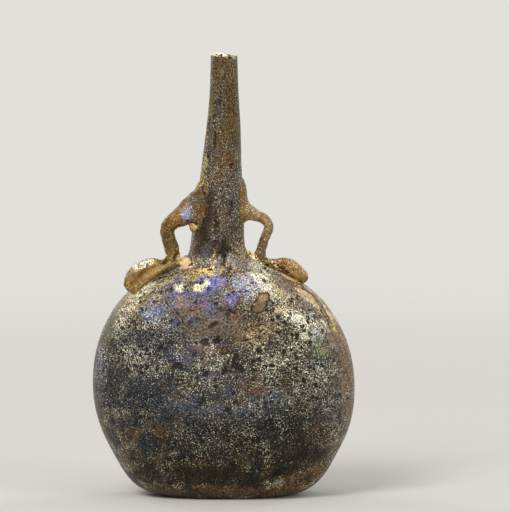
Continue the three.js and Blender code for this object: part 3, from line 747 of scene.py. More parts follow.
def whiten_rim(mesh):
    """The broken rim has kept a thin white edge, which runs round with the slant of the mouth."""
    points = places_of(mesh)
    across = (points[:, 0] - lean_at(points[:, 2])) / (mouth_diameter / 2)
    below = overall_height + rim_crown - rim_slant / 2 * (across + 1) - points[:, 2]
    waves, depth, full_above, gone_below = 600, 0.5 * mm, 0.05 * mm, 0.45 * mm
    ragged = np.array([noise.noise(Vector(point) * waves) for point in points]) * depth
    weight = 1 - smoothstep(full_above, gone_below, below + ragged)
    chalk = (*light_of(crust_colours["chalk"]), 1)
    for name, goal, key, kind in (("crust", (0.92,), "value", "FLOAT"),
                                  ("crust_colour", chalk, "color", "FLOAT_COLOR")):
        held = np.zeros(len(points) * len(goal), np.float32)
        mesh.attributes[name].data.foreach_get(key, held)
        held = held.reshape(-1, len(goal))
        held += (np.array(goal) - held) * weight[:, None]
        store(mesh, name, held, kind)


weather(vessel.data)
whiten_rim(vessel.data)
print("the vessel's", len(vessel.data.vertices), "points are weathered")

# %% [markdown]
# ## Relief
# Glass that has been buried isn't smooth: it is a little uneven from the blowing, the crust
# stands a tenth of a millimetre proud, flakes have fallen away and left shallow pits. Colour
# and bump alone would leave the outline smooth, so a second tree moves the points themselves,
# square to the skin, from soft noise and from the crust that each point carries.

# %% The tree that weathers the skin
relief_sizes = {"Unevenness": 0.5 * mm, "Ripple": 0.22 * mm, "Pit depth": 0.45 * mm,
                "Crust height": 0.16 * mm, "Grain height": 0.18 * mm, "Flake depth": 0.3 * mm,
                "Fold height": 0.36 * mm}
relief_tree, given = new_tree("weathered_relief", relief_sizes)
add, less, times = sums(relief_tree, "ADD", "SUBTRACT", "MULTIPLY")


def relief_noise(scale, detail=2.0, seed=0.0, roughness=0.5):
    """A soft noise around zero, with that many waves to the metre."""
    spot = put(relief_tree, "ShaderNodeVectorMath",
               {0: put(relief_tree, "GeometryNodeInputPosition").outputs[0],
                1: (seed, seed * 2, seed * 3)}).outputs[0]
    return less(fine_noise(relief_tree, spot, scale, detail, roughness), 0.5)


broad_waves, ripple_waves, pit_waves, grain_waves = 26.0, 110.0, 210.0, 520.0
pit_marks, flake_edge, fold_reach = (0.13, 0.24), (0.5 * mm, -0.6 * mm), 2.4 * mm
middling_crust, least_grain = 0.5, 0.3
crust_here = named(relief_tree, "crust")
lift = times(relief_noise(broad_waves, detail=1.0), given["Unevenness"])
lift = add(lift, times(relief_noise(ripple_waves, seed=.3), given["Ripple"]))
pitted = between_marks(relief_tree, relief_noise(pit_waves, seed=.7), *pit_marks)
lift = less(lift, times(pitted, given["Pit depth"]))
proud = times(less(crust_here, middling_crust), given["Crust height"])
grain = times(relief_noise(grain_waves, seed=.9, roughness=.7),
              times(given["Grain height"], add(crust_here, least_grain)))
lift = add(lift, add(proud, grain))
for flaw in ("bare", "pit"):
    sunk = between_marks(relief_tree, named(relief_tree, flaw), *flake_edge)
    lift = less(lift, times(sunk, given["Flake depth"]))
beside = calc(relief_tree, "ABSOLUTE", named(relief_tree, "fold"))
folded = between_marks(relief_tree, beside, fold_reach, 0.0)
lift = add(lift, times(folded, given["Fold height"]))
lift = calc(relief_tree, "MINIMUM", lift, crust_allowance)
push = scaled(relief_tree, put(relief_tree, "GeometryNodeInputNormal").outputs[0], lift)
moved = put(relief_tree, "GeometryNodeSetPosition",
            {"Geometry": given["Geometry"], "Offset": push}).outputs[0]
finish_tree(relief_tree, moved, weathered_glass)
smooth_mesh = vessel.data
bpy.data.objects.remove(vessel)
vessel = grow("vessel_glass", smooth_mesh, relief_tree, relief_sizes)
for vertex in vessel.data.vertices:
    vertex.co.z = min(max(vertex.co.z, 0), overall_height)
print("weathered glass in cm3 and open edges:", face_out(vessel.data))

# %% [markdown]
# ## The handles
# Each handle is hot glass that ran together: a strand folded back into a tail on the shoulder,
# a strap standing on it, and a pad pressed on the neck. Separate tubes would meet in hard
# creases, where melted glass has soft fillets. So each handle is made as a distance field: for
# every cell of a fine grid, how far it is from the glass. Distances can be blended, and the
# blend rounds each joint as a melt does. The field then becomes a mesh at its zero level.

# %% Sizes of the handles, in mm and degrees
handles = {
    "left": dict(turn=196, knee=13.1, landing=15.6, strap=(6.3, 7), tail=42.8, lift=7.9, strand=3.6,
                 loop=5.4, tail_width=7, pad_rise=6, pad_height=24.4, pad_thick=2.4, pad_span=74,
                 pad_drift=22, bead=(2, 8)),
    "right": dict(turn=-4, knee=11.2, landing=15.4, strap=(4.3, 5.4), tail=38.7, lift=5.7, strand=3,
                  loop=4.4, tail_width=6, pad_rise=10.6, pad_height=20, pad_thick=2, pad_span=54,
                  pad_drift=6, bead=(1.7, 3.6)),
}

# %% Routes and girths of the handles, as shares
strap_route_shares = {
    "left": [(.82, 0), (.83, .13), (.855, .26), (.94, .41), (1, .57), (.95, .7), (.8, .79),
             (.66, .845), (.5, .895), (.3, .97), (.1, 1.1), (-.04, 1.22)],
    "right": [(.63, 0), (.66, .1), (.71, .2), (.795, .34), (.89, .48), (.98, .63), (.92, .765),
              (.745, .85), (.465, .91), (.225, .965), (-.02, 1)],
}
strap_girth_shares = {
    "left": [(0, 1.12, 1.15), (.14, 1.04, 1), (.41, 1, .95), (.5, 1.08, 1.02), (.58, 1.2, 1.1),
             (.65, 1.34, 1.2), (.72, 1.5, 1.3), (.81, 1.74, 1.4), (.91, 1.7, 1.5), (1, 1.4, 1.5)],
    "right": [(0, 1.16, 1.15), (.14, 1.02, 1), (.5, .98, .95), (.66, 1.08, 1), (.78, 1.2, 1.05),
              (.89, 1.6, 1.2), (1, 2.4, 1.4)],
}
strand_route_shares = {"left": [.5, .56, .62, .7, .8, .88, .945],
                       "right": [.45, .51, .58, .67, .78, .88, .96]}
heart_route_shares = {"left": [(.6, .22), (.68, .36), (.77, .46), (.86, .48), (.92, .4)],
                      "right": [(.66, .24), (.74, .42), (.82, .5), (.89, .46), (.93, .38)]}
bead_route_shares = {"left": [.365, .4, .44], "right": [.34, .4, .46, .52]}
loop_route_shares = {
    "left": [(.92, .26), (.965, .44), (.985, .7), (.965, .95), (.9, 1.1), (.8, 1.02), (.71, .8),
             (.63, .52), (.57, .38)],
    "right": [(.93, .26), (.985, .42), (.99, .66), (.93, .87), (.84, .98), (.75, .88), (.67, .6),
              (.61, .4)],
}
bead_girth_shares = [(0, .8), (.5, 1), (1, .8)]
heart_girth_shares = [(0, .6), (.4, 1), (.8, 1), (1, .8)]
loop_girth_shares = [(0, .8), (.25, .92), (.5, 1), (.75, .84), (1, .6)]
strand_girth_shares = [(0, .7), (.2, 1), (1, 1.05)]
print(len(handles), "handles")

# %% Places on the vessel
outline_width, outline_depth, outline_height = outline.T


def neck_radius(height):
    return np.interp(height, outline_height, outline_width)


def shoulder_height(x, y):
    """Height of the vessel's outside over a point of the shoulder."""
    bend = power_at(outline_width, outline_depth)
    out = (abs((x - lean_at(outline_height)) / outline_width) ** bend
           + abs(y / outline_depth) ** bend)
    top = np.nonzero(out <= 1)[0][-1]
    share = (1 - out[top]) / (out[top + 1] - out[top])
    return outline_height[top] + share * (outline_height[top + 1] - outline_height[top])


def landing_height(handle):
    return neck_foot_height + handle["landing"] * mm


def handle_plane(handle):
    """The neck's axis at the landing, and the way that the handle points."""
    turn = math.radians(handle["turn"])
    return lean_at(landing_height(handle)), math.cos(turn), math.sin(turn)


def over_shoulder(handle, reach, lift):
    """A point in the handle's own plane, as its reach and its height."""
    axis, cosine, sine = handle_plane(handle)
    return reach, shoulder_height(axis + reach * cosine, reach * sine) + lift

# %% Routes of hot glass
def trail(points, girth_shares, thick, wide):
    """A route in the handle's plane, with half its thickness and its width against that."""
    route = curve_through(points, steps=12)
    run = np.concatenate([[0], np.cumsum(np.linalg.norm(np.diff(route, axis=0), axis=1))])
    share = run / run[-1]
    half = between(girth_shares, share) * thick / 2
    broad = between(girth_shares, share, len(girth_shares[0]) - 1) * wide / 2
    return route, half, broad / half


def trails_of(side):
    """The strand, the loop, the glass in its fold, a stray bead and the strap of one handle."""
    handle = handles[side]
    fused, bead_lift = 0.3 * mm, 0.2 * mm
    strand, tall, loop = handle["strand"] * mm, handle["lift"] * mm, handle["loop"] * mm
    wide, (bead_thick, bead_wide) = handle["tail_width"] * mm, handle["bead"]

    def laid(shares_and_lifts):
        return [over_shoulder(handle, handle["tail"] * mm * share, lift)
                for share, lift in shares_and_lifts]

    strand_points = laid((share, strand / 2 + fused) for share in strand_route_shares[side])
    loop_points = laid((share, tall * up) for share, up in loop_route_shares[side])
    bead_points = laid((share, bead_lift) for share in bead_route_shares[side])
    heart_points = laid((share, tall * up) for share, up in heart_route_shares[side])
    neck_reach, knee = neck_radius(landing_height(handle)), handle["knee"] * mm
    shares = strap_route_shares[side]
    foot = over_shoulder(handle, neck_reach + knee * shares[0][0], strand)[1]
    rise = landing_height(handle) - foot
    strap_points = [(neck_reach + knee * out, foot + rise * up) for out, up in shares]
    strap_thick, strap_wide = handle["strap"]
    return (trail(strand_points, strand_girth_shares, strand, wide),
            trail(loop_points, loop_girth_shares, loop, wide),
            trail(heart_points, heart_girth_shares, loop * 0.8, wide * 0.44),
            trail(bead_points, bead_girth_shares, bead_thick * mm, bead_wide * mm),
            trail(strap_points, strap_girth_shares[side], strap_thick * mm, strap_wide * mm))

# %% Distance fields
def far_from_trail(out, up, aside, made):
    """How far each cell is from a trail's skin."""
    route, half, oval = made
    nearest, skin_half, skin_oval = np.full(out.shape, 1e9), np.zeros(out.shape), np.ones(out.shape)
    for i in range(len(route) - 1):
        start, leg = route[i], route[i + 1] - route[i]
        right, above = out - start[0], up - start[1]
        along = np.clip((right * leg[0] + above * leg[1]) / (leg @ leg), 0, 1)
        gap = (right - along * leg[0]) ** 2 + (above - along * leg[1]) ** 2
        closer = gap < nearest
        nearest[closer] = gap[closer]
        skin_half[closer] = half[i] + along[closer] * (half[i + 1] - half[i])
        skin_oval[closer] = oval[i] + along[closer] * (oval[i + 1] - oval[i])
    return np.sqrt(nearest + (aside / skin_oval) ** 2) - skin_half


def melt(one, other, reach):
    """Joins two fields with a fillet of about that reach."""
    close = np.clip(reach - np.abs(one - other), 0, None) / reach
    return np.minimum(one, other) - close ** 2 * reach / 4


def far_from_pad(x, y, z, handle, vessel_field):
    """The pad is a domed patch on the neck: the vessel's own field, lifted inside its outline."""
    _, cosine, sine = handle_plane(handle)
    rise = (z - neck_foot_height - handle["pad_rise"] * mm) / (handle["pad_height"] * mm)
    inside = np.clip(rise, 0, 1)
    drift = math.radians(handle["pad_drift"]) * (inside - 0.4)
    angle = np.arctan2(y, x - lean_at(z)) - math.atan2(sine, cosine) - drift
    angle = (angle + np.pi) % (2 * np.pi) - np.pi
    narrowing = np.sqrt(1 - (2 * inside - 1) ** 4) * (1 - 0.25 * inside ** 1.5)
    span = math.radians(handle["pad_span"]) / 2 * np.maximum(narrowing, 0.18)
    off = np.sqrt((angle / span) ** 2 + np.abs(2 * rise - 1) ** 6)
    dome = np.sqrt(np.clip(1 - off, 0, None)) - 0.5 * np.clip(off - 1, 0, 3)
    return vessel_field - handle["pad_thick"] * mm * dome


def far_from_skin(axes, stride=5):
    """The vessel's field on the grid, measured at every fifth cell and blended between."""
    coarse = [np.unique(np.append(axis[::stride], axis[-1])) for axis in axes]
    measured = np.zeros([len(axis) for axis in coarse])
    for place in np.ndindex(measured.shape):
        cell_middle = Vector([axis[step] for axis, step in zip(coarse, place)])
        spot, way, _, gap = smooth_skin.find_nearest(cell_middle)
        measured[place] = math.copysign(gap, (cell_middle - spot).dot(way))
    for side, (axis, rough) in enumerate(zip(axes, coarse)):
        low = np.clip(np.searchsorted(rough, axis, side="right") - 1, 0, len(rough) - 2)
        share = (axis - rough[low]) / (rough[low + 1] - rough[low])
        share = share.reshape([-1 if n == side else 1 for n in range(3)])
        below, above = np.take(measured, low, side), np.take(measured, low + 1, side)
        measured = below * (1 - share) + above * share
    return measured

# %% The handles as meshes
amber_glass = bpy.data.materials.new("amber_glass")
cell = 0.4 * mm
grid_margin = 3 * mm
fillets = dict(loop=1.2 * mm, heart=1.3 * mm, strap=2.0 * mm, bead=0.6 * mm, pad=1.8 * mm,
               skin=0.9 * mm)
ripple_depth = 0.16 * mm
foot_depth = 0.9 * mm
feather_edge = 0.04 * mm


def melted_handle(side):
    """One handle, its dabs of hot glass melted together and on to the vessel."""
    handle = handles[side]
    boxes = [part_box(f"{side}_{part}") for part in ("tail_trail", "handle_strap", "neck_pad")]
    low = np.min([box[0] for box in boxes], axis=0) - grid_margin
    high = np.max([box[1] for box in boxes], axis=0) + grid_margin
    axes = [np.arange(start, end, cell) for start, end in zip(low, high)]
    x, y, z = np.meshgrid(*axes, indexing="ij")
    axis, cosine, sine = handle_plane(handle)
    out, aside = (x - axis) * cosine + y * sine, y * cosine - (x - axis) * sine
    vessel_field = far_from_skin(axes) + crust_allowance / 2
    glass, loop, heart, bead, strap = (far_from_trail(out, z, aside, made)
                                       for made in trails_of(side))
    pad = far_from_pad(x, y, z, handle, vessel_field)
    for name, other in dict(loop=loop, heart=heart, strap=strap, bead=bead, pad=pad).items():
        glass = melt(glass, other, fillets[name])
    glass += ripple_depth * (np.sin(x / mm * 1.1 + 2 * np.sin(z / mm * 0.7))
                             * np.sin(z / mm * 0.9 + y / mm * 1.3))
    joined = melt(glass, vessel_field, fillets["skin"])
    # Only what stands on the skin is kept, with a foot that runs a little way into it
    kept = np.maximum(joined, np.maximum(feather_edge - (vessel_field - joined),
                                         -(vessel_field + foot_depth)))
    grid = openvdb.FloatGrid(1.0)
    grid.copyFromArray(kept.astype(np.float32))
    points, quads = grid.convertToQuads(0.0)
    mesh = bpy.data.meshes.new(f"{side}_handle_glass")
    mesh.from_pydata(points * cell + low, [], quads.tolist())
    return show(mesh.name, mesh)


def keep_largest(mesh):
    """Drops the crumbs that a field leaves beside the main body."""
    work = bmesh.new()
    work.from_mesh(mesh)
    left, bodies = set(work.verts), []
    while left:
        body, front = set(), [left.pop()]
        while front:
            vertex = front.pop()
            body.add(vertex)
            for edge in vertex.link_edges:
                other = edge.other_vert(vertex)
                if other in left:
                    left.remove(other)
                    front.append(other)
        bodies.append(body)
    largest = max(bodies, key=len)
    crumbs = [vertex for vertex in work.verts if vertex not in largest]
    bmesh.ops.delete(work, geom=crumbs, context="VERTS")
    work.to_mesh(mesh)
    work.free()
    return len(bodies)


handle_pieces = {}
for side in handles:
    piece = melted_handle(side)
    bodies = keep_largest(piece.data)
    piece.data.materials.append(amber_glass)
    handle_pieces[side] = piece
    print(side, "handle: bodies", bodies, "cm3 and open edges", face_out(piece.data),
          "faces", len(piece.data.polygons))

# %% [markdown]
# ## The scar under the base
# While the neck was worked, the base was held on an iron rod by a wad of glass. It snapped
# off and left a low rough disc, hollow in the middle. A turned disc with its rings pushed
# about by noise gives that torn look, and its top runs a little way into the base.

# %% The wad
def torn_wad(rings=14, sides=48):
    """A rough disc, hollow in the middle, built ring by ring from its middle outwards."""
    radius, thick, hollow, low = 7 * mm, 1.8 * mm, 0.9 * mm, kick_height - 2.1 * mm
    profile = [(radius * 0.62 * i / rings, low + hollow * math.cos(i / rings * math.pi / 2) ** 1.3)
               for i in range(1, rings)]
    profile += [(radius * out, low + thick * up) for out, up in
                [(.62, 0), (.7, .02), (.78, .06), (.85, .15), (.92, .32), (.97, .5), (1, .7),
                 (1, 1), (.99, 1.3)]]
    coarse, fine = 420, 1100
    work = bmesh.new()
    rows = []
    for out, up in profile:
        row = []
        for i in range(sides):
            turn = 2 * math.pi * i / sides
            spot = Vector((out * math.cos(turn), out * math.sin(turn), up))
            rough = noise.noise(spot * coarse) * 0.25 * mm + noise.noise(spot * fine) * 0.1 * mm
            pushed = Vector((lean_at(0), 0, rough))
            row.append(work.verts.new(spot * (1 - 0.6 * abs(rough) / radius) + pushed))
        rows.append(row)
    bottom = work.verts.new((lean_at(0), 0, low + hollow))
    top = work.verts.new((lean_at(0), 0, rows[-1][0].co.z))
    for i in range(sides):
        j = (i + 1) % sides
        work.faces.new((bottom, rows[0][j], rows[0][i]))
        work.faces.new((top, rows[-1][i], rows[-1][j]))
        for inner, outer in zip(rows, rows[1:]):
            work.faces.new((inner[i], inner[j], outer[j], outer[i]))
    mesh = bpy.data.meshes.new("base_scar")
    work.to_mesh(mesh)
    work.free()
    return show("base_scar", mesh)


scar_glass = bpy.data.materials.new("scar_glass")
wad = torn_wad()
wad.data.materials.append(scar_glass)
print("wad in cm3 and open edges:", face_out(wad.data))

# %% [markdown]
# ## The finish of the weathered glass
# Close up, the crust is a dense scatter of small curled specks, half a millimetre to one across,
# cream over a dark film, with dirt and painted shade in the hollows just round them. The specks are
# whitest at their hearts, which also paints a highlight on each. A photograph wrapped round the
# bottle would repeat or stretch, so the specks come from noise in space: thin ridges where a soft
# noise crosses its middle give the curls, a finer noise gives the grains, and the crust that each
# point carries sets how much of both shows. The same nodes serve the handles with other numbers.

# %% Helpers for finishes
# The first colour is the dirt and painted shade just outside each speck of crust
dirt_and_shade_colour = (*light_of((16, 13, 9)), 1)
pit_colour = (*light_of((30, 24, 17)), 1)
crest_colour = (*light_of((166, 142, 112)), 1)
sheen_tint = (*light_of((214, 208, 216)), 1)
warm_stain, cool_stain = (1.16, .97, .74, 1), (.9, 1.0, 1.14, 1)
lustre_hues = [(.3, (92, 84, 170)), (.39, (96, 120, 190)), (.46, (110, 128, 120)),
               (.53, (150, 120, 140)), (.6, (160, 132, 70)), (.7, (84, 120, 130))]


def colour_mix(tree, share, one, other, blend="MIX"):
    made = put(tree, "ShaderNodeMix", {0: share, 6: one, 7: other}, data_type="RGBA",
               blend_type=blend)
    return made.outputs[2]


def carried(tree, name, output="Fac"):
    """What the points of the mesh carry."""
    return put(tree, "ShaderNodeAttribute", attribute_name=name).outputs[output]


def ridge(tree, value, sharpness):
    """Thin lines where a noise crosses its middle."""
    less, times = sums(tree, "SUBTRACT", "MULTIPLY")
    off = calc(tree, "ABSOLUTE", less(value, 0.5))
    return less(1.0, calc(tree, "MINIMUM", times(off, sharpness), 1.0))

# %% Build-up of the crust
clump_waves, least_patchy = 130.0, 0.3
curl_share, speck_share, clump_share = 0.46, 1.2, 0.38


def built_up(tree, spot, curl, grain):
    """Gives the specks, how patchy the crust may be here, its clumps, and all of it built up."""
    less, times_add = sums(tree, "SUBTRACT", "MULTIPLY_ADD")
    curls = ridge(tree, fine_noise(tree, spot, curl, 1.5), sharpness=8.0)
    specks = fine_noise(tree, spot, grain, 2.0, 0.6)
    # On the neck the crust is fine and even, and below it is patchy
    height = put(tree, "ShaderNodeSeparateXYZ", {0: spot}).outputs[2]
    below_neck = between_marks(tree, height, 126 * mm, 104 * mm)
    patchy = times_add(below_neck, 1 - least_patchy, least_patchy)
    clumps = times_add(less(fine_noise(tree, spot, clump_waves), 0.5), patchy, 0.5)
    build = times_add(curls, curl_share, times_add(specks, speck_share, -0.405))
    return specks, patchy, clumps, times_add(clumps, clump_share, less(build, 0.12))

# %% Flaws in the crust
def flaws_of(tree, spot, specks, patchy, clumps, small_pits):
    """Gives how bare, rimmed, pitted and folded each place is, and how much of a fold's crest."""
    add, less, times, times_add, size_of = sums(
        tree, "ADD", "SUBTRACT", "MULTIPLY", "MULTIPLY_ADD", "ABSOLUTE")
    # The grain stirs the edges of bare glass and of pits
    wobble = times_add(fine_noise(tree, spot, 380.0), 0.003, -0.0015)
    stirred = add(times_add(specks, 0.0011, -0.00055), wobble)
    bare_gap = add(carried(tree, "bare"), stirred)
    bare = between_marks(tree, bare_gap, 0.1 * mm, -0.1 * mm)
    rim = times(between_marks(tree, bare_gap, -0.7 * mm, -0.2 * mm),
                between_marks(tree, bare_gap, 0.4 * mm, 0.0))
    pit = between_marks(tree, add(carried(tree, "pit"), stirred), 0.25 * mm, -0.25 * mm)
    # Small pits are scattered at random, but not on the neck or where the crust is thickest
    scatter = put(tree, "ShaderNodeTexVoronoi", {"Vector": spot, "Scale": 360.0, "Randomness": 1.0})
    draw = put(tree, "ShaderNodeSeparateColor", {0: scatter.outputs["Color"]}).outputs
    chosen = times(calc(tree, "GREATER_THAN", draw[0], 1 - small_pits),
                   between_marks(tree, clumps, .4, .5))
    chosen = times(chosen, times(patchy, between_marks(tree, carried(tree, "crust"), .86, .78)))
    ragged = times_add(fine_noise(tree, spot, 900.0, 3.0, 0.7), 1.3, scatter.outputs["Distance"])
    small = less(ragged, times(draw[1], 0.3))
    small = times(chosen, between_marks(tree, small, .86, .68))
    # A fold has a pale crest with a dark line on each side
    beside = times(size_of(carried(tree, "fold")), 1 / (1.1 * mm))
    crest = times(between_marks(tree, beside, 0.55, 0.2), between_marks(tree, specks, .38, .56))
    fold = size_of(less(add(beside, times(clumps, 0.8)), 1.1))
    fold = times(between_marks(tree, fold, 0.3, 0.1), between_marks(tree, specks, 0.36, 0.56))
    return bare, rim, calc(tree, "MAXIMUM", pit, small), fold, crest

# %% The bare film
def bare_film(tree, spot, clumps, depth, lustre):
    """The film's own colour at a depth, with other hues where it shines and two kinds of stain."""
    times = partial(calc, tree, "MULTIPLY")
    hues = put(tree, "ShaderNodeValToRGB", {0: fine_noise(tree, spot, 75.0, 4.0, 0.6)})
    ramp = hues.color_ramp.elements
    while len(ramp) < len(lustre_hues):
        ramp.new(0.5)
    for element, (place, colour) in zip(ramp, lustre_hues):
        element.position, element.color = place, (*light_of(colour), 1)
    shine = times(carried(tree, "lustre"), between_marks(tree, clumps, .38, .6))
    film = colour_mix(tree, times(shine, 0.6 * lustre), carried(tree, "film", "Color"),
                      hues.outputs[0], "COLOR")
    stain = fine_noise(tree, spot, 150.0, 3.0, 0.6)
    film = colour_mix(tree, between_marks(tree, stain, .5, .62), film, warm_stain, "MULTIPLY")
    film = colour_mix(tree, between_marks(tree, stain, .48, .36), film, cool_stain, "MULTIPLY")
    return scaled(tree, film, depth)

# %% The finish itself
# What has built up must pass a mark, and these are how soft each step round the mark is
bare_mark, crust_drop = 0.96, -0.86
cover_edge, heart_edge, dirt_and_shade_edge = (-0.035, 0.05), (-0.01, 0.13), (-0.3, -0.05)
# How much each thing shows
grit_depth, broad_depth, least_depth = 6.0, 0.9, 0.1
darkness, dirt_and_shade_share, crest_share = 0.8, 0.5, 0.7


def crusted_finish(material, curl=1180.0, grain=2120.0, film_depth=0.55, crust_bump=0.42,
                   gloss=(0.24, 0.46), lustre=1.0, small_pits=0.5, grit=1.0):
    """Builds the nodes of a crusted glass, with its curls and grains that many to the metre."""
    material.use_nodes = True
    tree = material.node_tree
    shader = tree.nodes["Principled BSDF"]
    add, less, times, times_add, most = sums(
        tree, "ADD", "SUBTRACT", "MULTIPLY", "MULTIPLY_ADD", "MAXIMUM")
    place = put(tree, "ShaderNodeTexCoord").outputs["Object"]
    stir = put(tree, "ShaderNodeVectorMath",
               {0: fine_noise(tree, place, 260.0, 1.0, output=1), 1: (.5, .5, .5)},
               operation="SUBTRACT").outputs[0]
    spot = put(tree, "ShaderNodeVectorMath", {0: stir, 1: (.0013, .0013, .0013), 2: place},
               operation="MULTIPLY_ADD").outputs[0]
    specks, patchy, clumps, build = built_up(tree, spot, curl, grain)
    bare, rim, pit, fold, crest = flaws_of(tree, spot, specks, patchy, clumps, small_pits)
    # What has built up covers the film where it passes a mark, which is lower in thick crust
    crust = times(carried(tree, "crust"), less(1.0, most(bare, pit)))
    over = less(build, times_add(crust, crust_drop, bare_mark))
    cover = between_marks(tree, over, *cover_edge)
    heart = between_marks(tree, over, *heart_edge)
    # Dirt and painted shade darken the film just outside the edge of each speck
    dirt_and_shade = times(between_marks(tree, over, *dirt_and_shade_edge), less(1.0, cover))
    dirt_and_shade = times(dirt_and_shade, calc(tree, "MINIMUM", times(crust, 2.0), 1.0))
    # The film is deeper and paler by turns, in broad clouds and in fine grain, calmer on bare glass
    clouds = less(fine_noise(tree, spot, 90.0, 3.0), 0.5)
    fine_tone = fine_noise(tree, spot, grain * 0.6, 2.0, 0.6)
    rugged = less(1.0, times(bare, 0.7))
    fine_depth = times(times_add(fine_tone, grit_depth * grit, -grit_depth / 2 * grit), rugged)
    depth = add(times_add(times(clouds, patchy), broad_depth, film_depth + 0.4), fine_depth)
    film = bare_film(tree, spot, clumps, most(depth, least_depth), lustre)
    film = colour_mix(tree, times(dirt_and_shade, dirt_and_shade_share * grit), film, dirt_and_shade_colour)
    film = colour_mix(tree, times(crest, crest_share), film, crest_colour)
    # The crust has its own colour, dull at its edge and whiter at its heart, where it is pushed
    # past its own colour to paint a highlight on each speck as well
    bloom = times_add(heart, 1.1, times_add(fine_noise(tree, spot, 2100.0, 1.0), 0.9, 0.1))
    crust_colour = scaled(tree, carried(tree, "crust_colour", "Color"), bloom)
    dark = most(times(pit, darkness), most(times(rim, darkness), times(fold, darkness)))
    skin_colour = colour_mix(tree, dark, colour_mix(tree, cover, film, crust_colour), pit_colour)
    rough = times_add(cover, gloss[1] - gloss[0], gloss[0])
    raised = less(times(times_add(fine_tone, 1.6, cover), rugged), times(dark, 1.2))
    bump = put(tree, "ShaderNodeBump",
               {"Strength": 0.85, "Distance": crust_bump * mm, "Height": raised}).outputs[0]
    for name, value in {"Base Color": skin_colour, "Normal": bump,
                        "Roughness": times_add(fine_tone, 0.2, less(rough, 0.1)),
                        "Specular IOR Level": 0.16, "IOR": 1.5, "Sheen Weight": 0.02,
                        "Sheen Roughness": 0.4, "Sheen Tint": sheen_tint}.items():
        feed(tree, shader.inputs[name], value)
    return shader


crusted_finish(weathered_glass)
print("weathered glass has", len(weathered_glass.node_tree.nodes), "nodes")

# %% [markdown]
# ## The finish of the handles and the scar
# The handles are thicker, clearer glass, honey to amber, with only a thin pale bloom. Light goes a
# little way into them, which a touch of scattering under the surface gives without making them
# see-through. Their patches are read off the photograph in the same way as the vessel's, and a few
# of them paint light: a glow in the left tail, highlights on its top and on the left strap, and a
# glint at the lower end of the left pad.

# %% Patches of the handles
handle_film = [
    (224, 270, 70, 22, 0, "honey", .5), (170, 240, 9, 26, 0, "olive", .55),
    (198, 208, 12, 24, 0, "olive", .65), (143, 268, 20, 12, -20, "tail_pale", .85),
    # The glow dabs in the left tail paint light coming through the amber glass.
    (148, 273, 12, 5.5, -16, "glow", 1), (143, 275, 4, 3, -16, "honey", .7),
    (166, 271, 24, 8, -22, "tail_pale", .6), (158, 277, 24, 2.6, -25, "glow", .9),
    (130, 277, 6, 9, -25, "ochre", .55), (150, 284, 16, 4, -28, "tail_pale", .8),
    # The lavender and blue dabs on the left strap are its iridescent film and also paint a
    # highlight there.
    (166, 232, 4, 16, 10, "olive", .6), (187, 211, 6, 8, 30, "lavender", .85),
    (184, 216, 4, 5, 0, "blue", .5), (198, 202, 7, 16, 12, "olive", .5),
    (202, 185, 5, 7, 0, "ochre", .8), (192, 226, 8, 6, 0, "ochre", .85),
    (178, 228, 8, 6, -20, "olive", .8), (296, 268, 14, 9, 35, "tan", .85),
    (299, 263, 9, 4, 35, "tail_pale", .6), (282, 271, 9, 3, 35, "olive", .9),
    (280, 266, 6, 2, 30, "rust", .5), (263, 236, 8, 26, 6, "tan", .7),
    (261, 249, 7, 13, 6, "olive", .8), (256, 214, 16, 8, 25, "tan", .75),
    (243, 196, 5, 18, 0, "ochre", .5), (187.5, 263, 8, 5, 0, "peach", .9),
    (270, 262, 10, 3, 30, "soot", .4),
]
handle_crust = [
    (224, 250, 160, 60, 0, "straw", .29, .9), (262, 236, 22, 34, 0, "ivory", .26, .8),
    # The chalk crust along the top of the left tail is a pale bloom and also paints the tail's
    # highlight.
    (142, 262, 18, 8, -20, "chalk", .6, .95), (131, 275, 7, 9, -25, "ivory", .26, .8),
    (149, 273, 12, 4.8, -16, "straw", .1, 1), (168, 240, 5, 30, 0, "lichen", .36, .5),
    # The frost crust on the left strap is pale crust and also paints the strap's highlight.
    (187, 211, 7, 8, 30, "frost", .46, .8), (200, 196, 6, 16, 12, "bone", .22, .8),
    (296, 264, 14, 7, 35, "blush", .42, .8), (256, 209, 12, 5, 30, "ivory", .4, .8),
    (243, 194, 3, 16, 0, "ivory", .26, .7), (265, 232, 4, 16, 6, "bone", .36, .7),
    (170, 236, 8, 24, 0, "straw", .24, .7), (187, 262, 9, 6, 0, "blush", .92, 1),
    (250, 256, 12, 5, 45, "gold", .7, .9), (262, 268, 10, 5, 30, "cream", .6, .8),
    # The gold crust at the lower end of the left pad paints a glint there.
    (194, 228, 5, 3.5, 0, "gold", .74, .9), (164, 256, 3, 3, 0, "chalk", .8, .9),
    (275, 268, 8, 3, 30, "gold", .62, .8), (204, 184, 4, 6, 0, "gold", .5, .8),
]
handle_side = dict(film=handle_film, crust=handle_crust, bare=[], folds=[],
                   lustre=[(187, 211, 12, 12, 0, .7, .9), (202, 196, 8, 18, 0, .3, .8)],
                   pits=[(192, 221, 5, 1.6, 20), (165, 262, 2.4, 3, 10), (283, 269.5, 7, 1.5, 28),
                         (175, 258, 1.4, 4, 10), (204, 192, 1.2, 7, 4)])
for piece in handle_pieces.values():
    weather(piece.data, handle_side, handle_side, film="ochre", crust="straw", cover=0.38,
            lustre=0.08)
print(len(handle_film) + len(handle_crust), "dabs on the handles")

